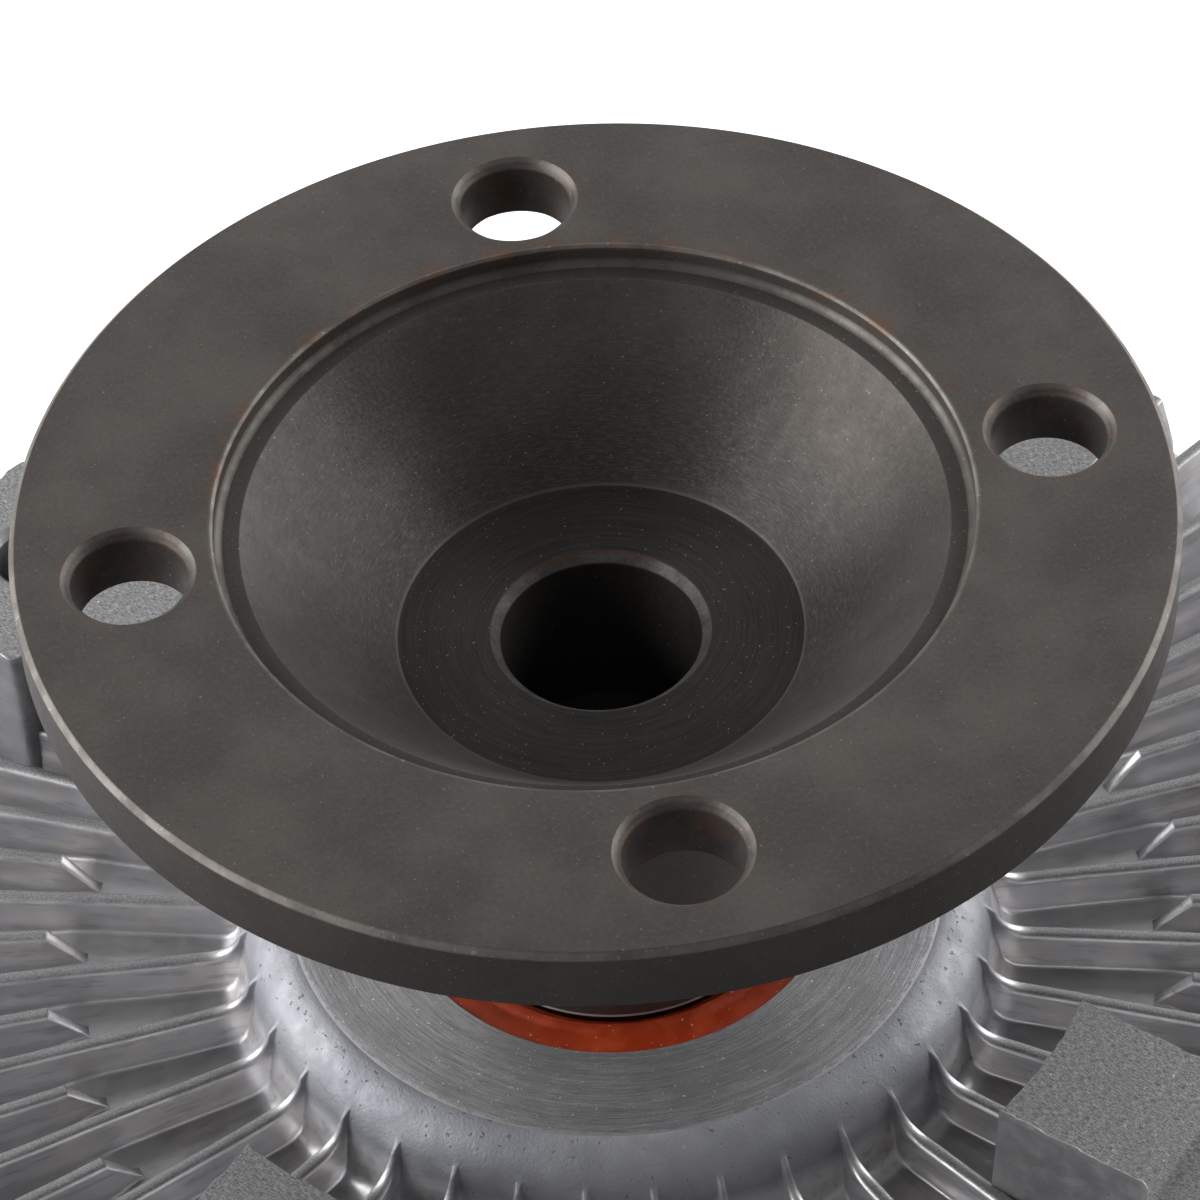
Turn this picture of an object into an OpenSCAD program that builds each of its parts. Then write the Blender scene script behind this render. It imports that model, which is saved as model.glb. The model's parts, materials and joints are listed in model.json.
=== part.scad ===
// Viscous fan clutch: a flanged drive shaft on a sealed ball bearing, inside a finned aluminium body
// whose two halves close round a grooved rotor, a fluid reservoir and a valve turned by a bimetal coil.
// Millimetres. The origin is the centre of the flange's mounting face, and +Z points out of that face,
// so the whole clutch hangs below Z = 0 and rests on the fins of its front cover.

/* [Flange and shaft] */
// Diameter of the mounting flange
flange_d = 90; // [86:1:110]
// Thickness of the mounting flange
flange_t = 6; // [5:0.5:9]
// Chamfer round the flange's rim
flange_edge = 0.45; // [0.2:0.05:1]
// Pitch circle of the flange bolts
flange_pcd = 72; // [71:0.5:76]
// Number of flange bolt holes
flange_bolts = 4; // [3:1:6]
// Diameter of the flange bolt holes
flange_hole_d = 9; // [6:0.5:10]
// Chamfer at the mouths of the flange bolt holes
flange_hole_edge = 0.7; // [0.3:0.1:1]
// Diameter of the locating register in the flange face
register_d = 58.6; // [56:0.2:61]
// Depth of the locating register
register_depth = 1.85; // [1:0.05:3]
// Width of the ledge between the register and the cone
ledge_w = 1.9; // [1:0.1:3]
// Diameter of the flat floor of the conical recess
recess_floor_d = 32.2; // [28:0.2:36]
// Depth of the conical recess
recess_depth = 14.3; // [10:0.1:18]
// Diameter of the pilot bore
pilot_d = 16; // [12:0.5:18]
// Depth of the pilot bore below the recess floor
pilot_depth = 16; // [10:0.5:22]
// Chamfer at the mouth of the pilot bore
pilot_edge = 0.7; // [0.3:0.1:1.2]
// Radial thickness of the cone's wall
cone_wall = 7.4; // [6:0.1:8]
// Diameter of the neck and its collar
neck_d = 29.2; // [28.4:0.2:29.4]
// Height of the relieved shoulder between the collar and the bearing
shoulder_h = 1; // [0.8:0.1:2]

/* [Bearing] */
// Bore of the bearing, and diameter of the shaft in it
bearing_bore_d = 20; // [19:0.5:21]
// Outside diameter of the bearing
bearing_d = 42; // [40.5:0.5:45]
// Width of the bearing
bearing_w = 12; // [11:0.5:15]
// Diameter of the balls
ball_d = 6.35; // [5.5:0.05:6.5]
// Number of balls
ball_count = 9; // [7:1:10]
// Thickness of the rubber seals
seal_t = 1; // [0.6:0.1:1.3]
// Diameter of the seal seats in the outer ring
seal_d = 37.2; // [36.4:0.1:37.6]
// Height of the rear seal's raised band above the bearing's face
seal_rise = 0.8; // [0.3:0.1:1]

/* [Rear housing] */
// Outside diameter of the clutch body
body_d = 168; // [166:1:180]
// Depth of the boss's machined face below the flange face
boss_depth = 43.9; // [40:0.1:60]
// Diameter of the boss at its wall
boss_d = 63; // [62:0.2:64.4]
// Radius of the boss's rounded rim
boss_round = 5; // [4:0.1:6]
// Outside diameter of the boss's machined face
boss_face_d = 55; // [54:0.2:57]
// Diameter of the opening in the boss's rolled lip
lip_d = 36.7; // [36.4:0.1:37]
// Fall of the machined face towards its lip
lip_dish = 0.95; // [0.3:0.05:1.5]
// Thickness of the rolled lip over the bearing
lip_t = 1.15; // [1:0.05:2]
// Drop from the machined face to the fins' crests
fin_drop = 5.7; // [5:0.1:7]
// Drop from the machined face to the floor between the fins
floor_drop = 9.3; // [8:0.1:10]
// Further fall of the floor from its knee to the rim
floor_fall = 5.3; // [4:0.1:6]
// Radius of the knee where the floor starts to fall
floor_knee_r = 47; // [42:0.5:55]
// Number of long fins
fin_count = 36; // [28:4:40]
// Thickness of the rear fins at their crests
fin_t = 1.3; // [0.9:0.1:2]
// Draft of the rear fins' sides in degrees
fin_draft = 4; // [1:0.5:5]
// Radius of the sweep where a long fin climbs the boss
fin_sweep = 3; // [2:0.1:3.4]
// Radius where the short fins leave the floor
short_fin_r = 45.4; // [42:0.2:52]
// Length of the ramp at a short fin's start
short_fin_ramp = 3.1; // [1:0.1:6]
// Distance of the fins' crests from the body's rim
fin_end_gap = 4.5; // [3:0.1:7]

/* [Fan pads] */
// Number of fan pads
pad_count = 4; // [3:1:4]
// Rise of the pads above the boss's machined face
pad_rise = 3.9; // [1:0.1:8]
// Diameter of the circle that the pads' inner edges lie on
pad_inner_d = 83.6; // [78:0.2:90]
// Width of a pad's stem
pad_w = 13; // [10:0.5:16]
// Width of a pad's head
pad_head_w = 22; // [18:0.5:26]
// Distance from the axis to the shoulder between stem and head
pad_head_r = 55.3; // [53:0.1:57]
// Distance from the axis to a pad's outer end
pad_end_r = 71; // [68:0.5:74]
// Corner radius of a pad's head
pad_corner = 4; // [2:0.5:6]
// Pitch circle of the fan bolts
fan_pcd = 125; // [122:1:128]
// Diameter of the fan bolts' tapped holes
fan_hole_d = 6.8; // [5:0.1:8.5]
// Depth of the fan bolts' tapped holes
fan_hole_depth = 14; // [10:0.5:16]

/* [Working chamber] */
// Thickness of the housing's shoulder under the bearing
bearing_shoulder_t = 3; // [2.5:0.1:4]
// Width of the body's rim outside the circle of the cover screws
rim_w = 5.8; // [5.2:0.1:7]
// Step from the circle of the cover screws in to the middle of the sealing ring
sealing_step = 3.6; // [3.4:0.1:5]
// Step from the middle of the sealing ring in to the working chamber
chamber_step = 2.6; // [2.2:0.1:4]
// Radial gap round the rotor
rotor_side_gap = 1.5; // [1:0.1:2]
// Width of the rotor's rim outside its last land
rotor_rim_w = 3.5; // [3.2:0.1:5]
// Thickness of the rotor's web
rotor_t = 4; // [3:0.1:5]
// Axial gap behind the rotor
rotor_gap = 1; // [0.6:0.1:1.5]
// Diameter of the rotor's hub
rotor_hub_d = 26.4; // [24:0.2:27]
// Diameter of the shaft's seat in the rotor
rotor_seat_d = 16; // [14:0.5:17]
// Number of lands on the rotor
land_count = 5; // [3:1:5]
// Radius of the innermost land
land_r = 46; // [45.5:0.1:52]
// Share of the lands' spacing that one land fills
land_fill = 0.4; // [0.3:0.01:0.42]
// Height of the rotor's lands
land_h = 5; // [3.5:0.1:5.5]
// Axial gap at the lands' tips
land_tip_gap = 1.5; // [0.8:0.1:2]
// Thickness of the ring that keeps the rotor on its seat
keeper_t = 1.2; // [0.8:0.1:1.6]
// Diameter of the rotor's keeper ring
keeper_d = 21; // [19:0.5:24]

/* [Front cover] */
// Depth of the cover's joint face below the rotor's web
joint_drop = 3; // [2.5:0.1:3.6]
// Thickness of the cover's wall
cover_t = 5; // [4.5:0.1:7]
// Diameter of the fluid reservoir
reservoir_d = 68; // [66:0.5:69]
// Depth of the fluid reservoir
reservoir_h = 6; // [5.5:0.1:8]
// Thickness of the reservoir's wall
reservoir_t = 4; // [3:0.1:5]
// Diameter of the divider plate
divider_d = 82; // [80:0.2:83]
// Thickness of the divider plate
divider_t = 1.2; // [0.8:0.1:1.6]
// Number of cover screws
cover_screws_n = 6; // [3:3:12]
// Diameter of the cover screws
cover_screw_d = 5; // [4:0.5:5]
// Depth of the cover screws' tapped holes in the rear housing
cover_tap_h = 7.5; // [6:0.1:8]
// Thickness of the cover's sealing ring
sealing_t = 1.6; // [1.2:0.1:1.8]
// Thickness of the front fins at their crests
front_fin_t = 1.6; // [1:0.1:2]
// Draft of the front fins' sides in degrees
front_fin_draft = 2; // [1:0.5:2.5]
// Radius where the front fins start
front_fin_r = 30; // [29.5:0.5:33]
// Guard height by which the front fins stand past the coil
coil_guard = 1.8; // [1:0.1:4]

/* [Valve and coil] */
// Diameter of the valve shaft
valve_d = 8; // [7:0.2:8.4]
// Radius of the fluid port that the valve covers
port_r = 27; // [24:0.5:28]
// Diameter of the fluid port
port_d = 6; // [4:0.5:7]
// Thickness of the valve arm
arm_t = 1; // [0.6:0.1:1.4]
// Width of the coil's strip
coil_w = 8; // [5:0.5:10]
// Thickness of the coil's strip
coil_t = 1; // [0.6:0.1:1.2]
// Spacing of the coil's turns
coil_pitch = 2.5; // [2.2:0.1:2.6]
// Radius of the coil's first half turn
coil_r = 6; // [5.6:0.1:6.4]
// Number of half turns in the coil
coil_halves = 12; // [8:2:12]

/* [Clearances] */
// Radial clearance of pressed and seated parts
seat_gap = 0.02; // [0.01:0.01:0.05]
// Radial clearance of the valve shaft in its bore
running_gap = 0.05; // [0.03:0.01:0.08]
// Clearance of the balls in their grooves
ball_gap = 0.12; // [0.08:0.01:0.2]
// Clearance between parts that turn past each other
free_gap = 0.35; // [0.3:0.05:0.5]

/* [Hidden] */
$fn = 96;
// Small overlap of joined shapes, and distance by which cuts run past a face
slice = 0.01;
over = 1;
// Depth by which the fins are sunk in the body
fin_sink = 1;

// Levels, from the flange face down
z_ledge = -register_depth;
z_flange_back = -flange_t;
z_recess = -recess_depth;
z_pilot_end = z_recess - pilot_depth;
z_boss = -boss_depth;
z_lip = z_boss - lip_dish;
z_bearing = z_lip - lip_t;
z_bearing_mid = z_bearing - bearing_w / 2;
z_bearing_end = z_bearing - bearing_w;
z_pad = z_boss + pad_rise;
z_crest = z_boss - fin_drop;
z_floor = z_boss - floor_drop;
z_floor_end = z_floor - floor_fall;
z_ceiling = z_bearing_end - bearing_shoulder_t;
z_rotor = z_ceiling - rotor_gap;
z_web = z_rotor - rotor_t;
z_land_tip = z_web - land_h;
z_joint = z_web - joint_drop;
rotor_hub_foot = 0.5;
z_keeper = z_web - rotor_hub_foot;
shaft_tail = 1.6;
z_shaft_end = z_keeper - keeper_t - shaft_tail;
divider_gap = 1;
z_divider = z_shaft_end - divider_gap;
z_divider_low = z_divider - divider_t;
z_reservoir = z_divider_low - reservoir_h;
z_cover_mid = z_reservoir - reservoir_t;
z_cover_base = z_land_tip - land_tip_gap;
z_cover_face = z_cover_base - cover_t;
valve_boss_h = 1.7;
z_valve_boss = z_cover_mid - valve_boss_h;
z_clip = z_valve_boss - free_gap;
clip_t = 0.8;
coil_drop = 0.9;
z_coil = z_clip - clip_t - coil_drop;
z_coil_end = z_coil - coil_w;
z_front = z_coil_end - coil_guard;
z_arm = z_divider_low - free_gap;
z_collar = z_arm - arm_t;
valve_collar_h = 1.1;
z_inner_boss = z_collar - valve_collar_h - free_gap;

// Radii
flange_r = flange_d / 2;
register_r = register_d / 2;
cone_r = register_r - ledge_w;
recess_r = recess_floor_d / 2;
cone_slope = (cone_r - recess_r) / (z_ledge - z_recess);
neck_r = neck_d / 2;
neck_root_r = cone_r - (z_ledge - z_flange_back) * cone_slope + cone_wall;
z_neck = z_flange_back - (neck_root_r - neck_r) / cone_slope;
shaft_r = bearing_bore_d / 2;
bearing_r = bearing_d / 2;
ball_r = ball_d / 2;
ball_circle_r = (shaft_r + bearing_r) / 2;
groove_r = ball_r + ball_gap;
race_open = 1.9;
inner_ring_r = ball_circle_r - race_open;
outer_ring_r = ball_circle_r + race_open;
seal_r = seal_d / 2;
seal_recess = 0.4;
seal_seat_h = seal_t + seal_recess;
seal_lip_gap = seat_gap * 4;
lip_r = lip_d / 2;
boss_r = boss_d / 2;
boss_face_r = boss_face_d / 2;
round_r = boss_r - boss_round;
z_round = z_boss - sqrt(pow(boss_round, 2) - pow(boss_face_r - round_r, 2));
boss_draft = 0.7;
boss_fillet = 2;
body_r = body_d / 2;
rim_edge = 2;
floor_end_r = body_r - rim_edge * 2;
fin_end_r = body_r - fin_end_gap;
fin_angle = 360 / fin_count;
pad_angle = 360 / pad_count;
cover_screw_r = body_r - rim_w;
sealing_r = cover_screw_r - sealing_step;
chamber_r = sealing_r - chamber_step;
rotor_r = chamber_r - rotor_side_gap;
last_land_r = rotor_r - rotor_rim_w;
land_pitch = (last_land_r - land_r) / (land_count - 1 + land_fill / 2);
land_t = land_pitch * land_fill;
rotor_seat_r = rotor_seat_d / 2;
keeper_groove = 0.7;
screw_room = 0.6;
divider_r = divider_d / 2;
reservoir_r = reservoir_d / 2;
divider_wall = 2.5;
divider_screw_d = 3;
divider_screw_r = (divider_r + reservoir_r) / 2;
divider_screw_angles = [30, 150, 270];
divider_grip = 4;
valve_r = valve_d / 2;
valve_step = 1;
valve_tip_r = valve_r - valve_step;
valve_ring_r = 0.8;
valve_collar_w = 1.5;
valve_boss_wall = 4.5;
valve_boss_r = valve_r + valve_boss_wall;
clip_groove = 0.8;
z_valve_ring = (z_reservoir + z_cover_mid) / 2;
plug_r = 2.5;
plug_land = 2;
plug_circle_r = front_fin_r - plug_r - plug_land;
wiper_gap = 0.6;
wiper_r = last_land_r + wiper_gap;
wiper_end_gap = 0.1;
wiper_w = rotor_rim_w - wiper_gap - wiper_end_gap;
wiper_angle = 12;
wiper_seat = 1.5;
work_step = 0.8;
work_r = chamber_r - work_step;
cover_mid_wall = 3;
cover_mid_r = divider_r + cover_mid_wall;
cover_slope_w = 6;
coil_end_x = coil_r + coil_halves * coil_pitch / 2;
coil_tab = 6;

steel_dark = [0.27, 0.26, 0.24];
steel_bright = [0.72, 0.72, 0.74];
cast_alloy = [0.62, 0.62, 0.64];
rubber_orange = [0.62, 0.2, 0.06];
rubber_black = [0.06, 0.06, 0.06];
bimetal_colour = [0.66, 0.56, 0.42];

// A turned ring between two radii, standing on z_low
module turned_ring(r_in, r_out, z_low, h) {
    rotate_extrude() translate([r_in, z_low]) square([r_out - r_in, h]);
}

// Copies of a shape round the axis
module around(count, r = 0, start = 0) {
    for (i = [0:count - 1])
        rotate([0, 0, start + i * 360 / count]) translate([r, 0, 0]) children();
}

// A radial fin, from its side outline in radius and height; its sides lean with the draft from the crest
module drafted_fin(crest_t, draft, z_top, z_low, z_high, reach) {
    lean = tan(draft);
    half_low = crest_t / 2 + abs(z_top - z_low) * lean;
    half_high = crest_t / 2 - abs(z_high - z_top) * lean;
    intersection() {
        rotate([90, 0, 0]) linear_extrude(half_low * 2 + over, center = true) children();
        rotate([90, 0, 90]) linear_extrude(reach)
            polygon([[-half_low, z_low], [half_low, z_low], [half_high, z_high], [-half_high, z_high]]);
    }
}

// Section of the flange, cone, neck and shaft
module shaft_section() {
    polygon([
        [0, z_pilot_end],
        [pilot_d / 2, z_pilot_end],
        [pilot_d / 2, z_recess - pilot_edge],
        [pilot_d / 2 + pilot_edge, z_recess],
        [recess_r, z_recess],
        [cone_r, z_ledge],
        [register_r, z_ledge],
        [register_r, -flange_edge / 2],
        [register_r + flange_edge / 2, 0],
        [flange_r - flange_edge, 0],
        [flange_r, -flange_edge],
        [flange_r, z_flange_back + flange_edge],
        [flange_r - flange_edge, z_flange_back],
        [neck_root_r, z_flange_back],
        [neck_r, z_neck],
        [neck_r, z_bearing + shoulder_h],
        [inner_ring_r - free_gap, z_bearing + shoulder_h],
        [inner_ring_r - free_gap, z_bearing],
        [shaft_r, z_bearing],
        [shaft_r, z_bearing_end + seat_gap],
        [rotor_seat_r, z_bearing_end + seat_gap],
        [rotor_seat_r, z_keeper],
        [rotor_seat_r - keeper_groove, z_keeper],
        [rotor_seat_r - keeper_groove, z_keeper - keeper_t],
        [rotor_seat_r, z_keeper - keeper_t],
        [rotor_seat_r, z_shaft_end + keeper_groove],
        [rotor_seat_r - keeper_groove, z_shaft_end],
        [0, z_shaft_end]
    ]);
}

// Hole through the flange with a chamfer at each mouth
module flange_hole() {
    hole_r = flange_hole_d / 2;
    mouth_r = hole_r + flange_hole_edge;
    translate([0, 0, z_flange_back - slice]) cylinder(r = hole_r, h = flange_t + slice * 2);
    translate([0, 0, -flange_hole_edge]) cylinder(r1 = hole_r, r2 = mouth_r, h = flange_hole_edge);
    translate([0, 0, z_flange_back]) cylinder(r1 = mouth_r, r2 = hole_r, h = flange_hole_edge);
}

module flange_shaft() {
    color(steel_dark) difference() {
        rotate_extrude() shaft_section();
        around(flange_bolts, flange_pcd / 2) flange_hole();
    }
}

module bearing_inner_ring() {
    color(steel_bright) rotate_extrude() difference() {
        translate([shaft_r + seat_gap, z_bearing_end]) square([inner_ring_r - shaft_r - seat_gap, bearing_w]);
        translate([ball_circle_r, z_bearing_mid]) circle(r = groove_r);
    }
}

module bearing_outer_ring() {
    seat_in = outer_ring_r - over;
    seat_size = [seal_r - seat_in, seal_seat_h + over];
    color(steel_bright) rotate_extrude() difference() {
        translate([outer_ring_r, z_bearing_end]) square([bearing_r - seat_gap - outer_ring_r, bearing_w]);
        translate([ball_circle_r, z_bearing_mid]) circle(r = groove_r);
        translate([seat_in, z_bearing - seal_seat_h]) square(seat_size);
        translate([seat_in, z_bearing_end - over]) square(seat_size);
    }
}

module bearing_balls() {
    color(steel_bright) around(ball_count, ball_circle_r) translate([0, 0, z_bearing_mid]) sphere(r = ball_r);
}

// Ring with a round pocket for each ball
module bearing_cage() {
    cage_r_in = inner_ring_r + free_gap * 2;
    cage_r_out = outer_ring_r - free_gap * 2;
    cage_rim = 0.65;
    cage_h = ball_d + cage_rim * 2;
    color("goldenrod") difference() {
        turned_ring(cage_r_in, cage_r_out, z_bearing_mid - cage_h / 2, cage_h);
        around(ball_count, ball_circle_r) translate([0, 0, z_bearing_mid]) sphere(r = ball_r + ball_gap);
    }
}

// Seal section: a flat web in the outer ring's seat, and on the rear seal a band that rises into the lip
module seal_section(band_rise) {
    web_r = inner_ring_r + free_gap;
    z_web_top = z_bearing - seal_recess;
    translate([web_r, z_bearing - seal_seat_h]) square([seal_r - seat_gap - web_r, seal_t]);
    if (band_rise > 0) {
        band_r_in = neck_r + free_gap;
        band_r_out = lip_r - seal_lip_gap;
        band_edge = 0.3;
        z_band = z_bearing + band_rise;
        polygon([
            [band_r_in, z_web_top - slice],
            [band_r_out, z_web_top - slice],
            [band_r_out, z_band - band_edge],
            [band_r_out - band_edge, z_band],
            [band_r_in + band_edge, z_band],
            [band_r_in, z_band - band_edge]
        ]);
    }
}

module rear_bearing_seal() {
    color(rubber_orange) rotate_extrude() seal_section(seal_rise);
}

module front_bearing_seal() {
    color(rubber_orange) translate([0, 0, 2 * z_bearing_mid]) mirror([0, 0, 1])
        rotate_extrude() seal_section(0);
}

// Section of the housing without its fins: boss, floor, rim and working chamber
module housing_section() {
    boss_foot_r = boss_r + boss_draft;
    difference() {
        union() {
            intersection() {
                union() {
                    translate([round_r, z_round]) circle(r = boss_round);
                    polygon([
                        [0, z_boss],
                        [round_r, z_boss + boss_round],
                        [round_r, z_round],
                        [boss_r, z_round],
                        [boss_foot_r, z_floor - slice],
                        [0, z_floor - slice]
                    ]);
                }
                polygon([
                    [lip_r, z_lip],
                    [boss_face_r, z_boss],
                    [boss_face_r, z_boss + boss_round],
                    [body_r, z_boss + boss_round],
                    [body_r, z_floor - slice],
                    [lip_r, z_floor - slice]
                ]);
            }
            difference() {
                translate([boss_foot_r - over, z_floor - slice])
                    square([boss_fillet + over, boss_fillet + slice]);
                translate([boss_foot_r + boss_fillet, z_floor + boss_fillet]) circle(r = boss_fillet);
            }
            polygon([
                [lip_r, z_floor],
                [floor_knee_r, z_floor],
                [floor_end_r, z_floor_end],
                [body_r, z_floor_end - rim_edge],
                [body_r, z_joint],
                [lip_r, z_joint]
            ]);
        }
        translate([0, z_bearing_end]) square([bearing_r, bearing_w]);
        translate([0, z_ceiling - slice]) square([seal_r, bearing_shoulder_t + slice * 2]);
        translate([0, z_joint - over]) square([chamber_r, z_ceiling - z_joint + over]);
    }
}

// Side outline of a long fin, whose inner end climbs the boss in a sweep
module long_fin_outline() {
    sweep_sink = 0.3;
    sweep_r = boss_r + fin_sweep - sweep_sink;
    root_r = boss_r - boss_round / 2;
    difference() {
        polygon([
            [root_r, z_floor - fin_sink],
            [floor_knee_r, z_floor - fin_sink],
            [floor_end_r, z_floor_end - fin_sink],
            [floor_end_r + rim_edge, z_floor_end - fin_sink],
            [fin_end_r, z_crest],
            [sweep_r, z_crest],
            [sweep_r, z_crest + fin_sweep],
            [root_r, z_crest + fin_sweep]
        ]);
        translate([sweep_r, z_crest + fin_sweep]) circle(r = fin_sweep);
    }
}

// Side outline of a short fin, which starts with a ramp
module short_fin_outline() {
    polygon([
        [short_fin_r, z_floor - fin_sink],
        [max(short_fin_r + over, floor_knee_r), z_floor - fin_sink],
        [floor_end_r, z_floor_end - fin_sink],
        [floor_end_r + rim_edge, z_floor_end - fin_sink],
        [fin_end_r, z_crest],
        [short_fin_r + short_fin_ramp, z_crest],
        [short_fin_r, z_floor]
    ]);
}

// Plan of one fan pad: a stem whose inner edge is turned, and a wider head with round corners
module pad_plan() {
    inner_r = pad_inner_d / 2;
    stem_r = inner_r - pad_w;
    head_len = pad_end_r - pad_head_r;
    corner_y = pad_head_w / 2 - pad_corner;
    difference() {
        union() {
            translate([stem_r, -pad_w / 2]) square([pad_head_r - stem_r + over, pad_w]);
            translate([pad_head_r, -pad_head_w / 2]) square([head_len - pad_corner, pad_head_w]);
            translate([pad_head_r, -corner_y]) square([head_len, corner_y * 2]);
            for (side = [-1, 1]) translate([pad_end_r - pad_corner, side * corner_y]) circle(r = pad_corner);
        }
        circle(r = inner_r);
    }
}

module rear_housing() {
    z_root = z_floor_end - fin_sink - slice;
    z_sweep = z_crest + fin_sweep;
    pad_low = (z_floor_end + z_ceiling) / 2;
    color(cast_alloy) difference() {
        union() {
            rotate_extrude() housing_section();
            around(fin_count, 0, fin_angle / 2)
                drafted_fin(fin_t, fin_draft, z_crest, z_root, z_sweep, body_r) long_fin_outline();
            around(fin_count)
                drafted_fin(fin_t, fin_draft, z_crest, z_root, z_sweep, body_r) short_fin_outline();
            around(pad_count, 0, pad_angle / 2)
                translate([0, 0, pad_low]) linear_extrude(z_pad - pad_low) pad_plan();
        }
        around(pad_count, fan_pcd / 2, pad_angle / 2)
            translate([0, 0, z_pad - fan_hole_depth]) cylinder(d = fan_hole_d, h = fan_hole_depth + over);
        around(cover_screws_n, cover_screw_r)
            translate([0, 0, z_joint - over]) cylinder(d = cover_screw_d, h = cover_tap_h + over);
    }
}

// Turned disc on a hub, with concentric lands on its front face and bypass holes through its web
module rotor_disc() {
    bore_r = rotor_seat_r + seat_gap;
    bypass_d = 6;
    bypass_count = 6;
    bypass_circle_r = (rotor_hub_d / 2 + land_r) / 2;
    color(cast_alloy) difference() {
        rotate_extrude() {
            translate([bore_r, z_keeper]) square([rotor_hub_d / 2 - bore_r, z_bearing_end - z_keeper]);
            translate([bore_r, z_web]) square([rotor_r - bore_r, rotor_t]);
            for (i = [0:land_count - 1])
                translate([land_r + i * land_pitch - land_t / 2, z_land_tip]) square([land_t, land_h + slice]);
        }
        around(bypass_count, bypass_circle_r)
            translate([0, 0, z_web - over]) cylinder(d = bypass_d, h = rotor_t + over * 2);
    }
}

// Split ring in the shaft's groove
module rotor_keeper_ring() {
    split_w = 5;
    color(steel_bright) difference() {
        turned_ring(rotor_seat_r - keeper_groove + seat_gap, keeper_d / 2, z_keeper - keeper_t, keeper_t);
        translate([0, -split_w / 2, z_keeper - keeper_t - over]) cube([keeper_d, split_w, keeper_t + over * 2]);
    }
}

// Places of the divider plate's screws
module divider_screw_places() {
    for (angle = divider_screw_angles)
        rotate([0, 0, angle]) translate([divider_screw_r, 0, 0]) children();
}

module divider_plate() {
    hole_d = divider_screw_d + seat_gap * 4;
    cut_h = divider_t + over * 2;
    color(steel_bright) difference() {
        translate([0, 0, z_divider_low]) cylinder(r = divider_r - seat_gap, h = divider_t);
        translate([port_r, 0, z_divider_low - over]) cylinder(d = port_d, h = cut_h);
        divider_screw_places() translate([0, 0, z_divider_low - over]) cylinder(d = hole_d, h = cut_h);
    }
}

module divider_screws() {
    pan_head_ratio = 1.85;
    head_d = divider_screw_d * pan_head_ratio;
    head_h = divider_screw_d / 2;
    shank_h = divider_grip + divider_t + slice;
    color(steel_bright) divider_screw_places() {
        translate([0, 0, z_divider_low - divider_grip]) cylinder(d = divider_screw_d, h = shank_h);
        translate([0, 0, z_divider]) cylinder(d = head_d, h = head_h);
    }
}

// Block that dams the fluid against the rotor's rim, seated in a pocket of the cover
module wiper_block(gap, z_low, z_high) {
    half = wiper_angle / 2;
    rotate([0, 0, -half]) rotate_extrude(angle = wiper_angle)
        translate([wiper_r - gap, z_low]) square([wiper_w + gap * 2, z_high - z_low]);
}

module pump_wiper() {
    color("ivory") wiper_block(0, z_cover_base - wiper_seat, z_web - free_gap * 2);
}

// Flat arm that swings over the fluid port
module valve_arm() {
    hub_w = 3;
    port_lap = 1.5;
    taper = 0.8;
    hub_r = valve_r + hub_w;
    tip_r = port_d / 2 + port_lap;
    hub_y = hub_r * taper;
    tip_y = tip_r * taper;
    color(steel_bright) translate([0, 0, z_collar]) linear_extrude(arm_t) difference() {
        union() {
            circle(r = hub_r);
            translate([port_r, 0]) circle(r = tip_r);
            polygon([[0, -hub_y], [port_r, -tip_y], [port_r, tip_y], [0, hub_y]]);
        }
        circle(r = valve_tip_r + seat_gap);
    }
}

// Stepped pin with a thrust collar, a clip groove and a slot across its outer end for the coil
module valve_shaft() {
    groove_top = z_clip + seat_gap;
    groove_low = z_clip - clip_t - seat_gap;
    slot_w = coil_t + running_gap * 2;
    color(steel_bright) difference() {
        rotate_extrude() polygon([
            [0, z_arm],
            [valve_tip_r, z_arm],
            [valve_tip_r, z_collar],
            [valve_r + valve_collar_w, z_collar],
            [valve_r + valve_collar_w, z_collar - valve_collar_h],
            [valve_r, z_collar - valve_collar_h],
            [valve_r, groove_top],
            [valve_r - clip_groove, groove_top],
            [valve_r - clip_groove, groove_low],
            [valve_r, groove_low],
            [valve_r, z_coil_end],
            [0, z_coil_end]
        ]);
        translate([-valve_d, -coil_t - running_gap, z_coil_end - over])
            cube([valve_d * 2, slot_w, coil_w + running_gap + over]);
    }
}

module valve_seal_ring() {
    color(rubber_black) rotate_extrude()
        translate([valve_r + running_gap + valve_ring_r, z_valve_ring]) circle(r = valve_ring_r);
}

// Open clip in the valve shaft's groove
module valve_clip() {
    clip_w = 2.2;
    mouth_ratio = 0.7;
    mouth_w = valve_d * mouth_ratio;
    z_low = z_clip - clip_t;
    color(steel_bright) difference() {
        turned_ring(valve_r - clip_groove + seat_gap, valve_r + clip_w, z_low, clip_t);
        translate([0, -mouth_w / 2, z_low - over]) cube([valve_d * 2, mouth_w, clip_t + over * 2]);
    }
}

// Spiral of half turns whose centres alternate, with a tab in the valve shaft and one in the cover's post
module bimetal_coil() {
    half_pitch = coil_pitch / 2;
    first_r = coil_r - coil_t / 2;
    slot_reach = valve_r * 0.7;
    color(bimetal_colour) translate([0, 0, z_coil_end]) {
        for (k = [0:coil_halves - 1])
            translate([k % 2 * half_pitch, 0, 0]) rotate([0, 0, 180 * (k % 2)])
                rotate_extrude(angle = 180)
                    translate([first_r + k * half_pitch, 0]) square([coil_t, coil_w]);
        translate([-slot_reach, -coil_t, 0]) cube([slot_reach + first_r + coil_t, coil_t, coil_w]);
        translate([coil_end_x - coil_t / 2, 0, 0]) cube([coil_tab, coil_t, coil_w]);
    }
}

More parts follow.
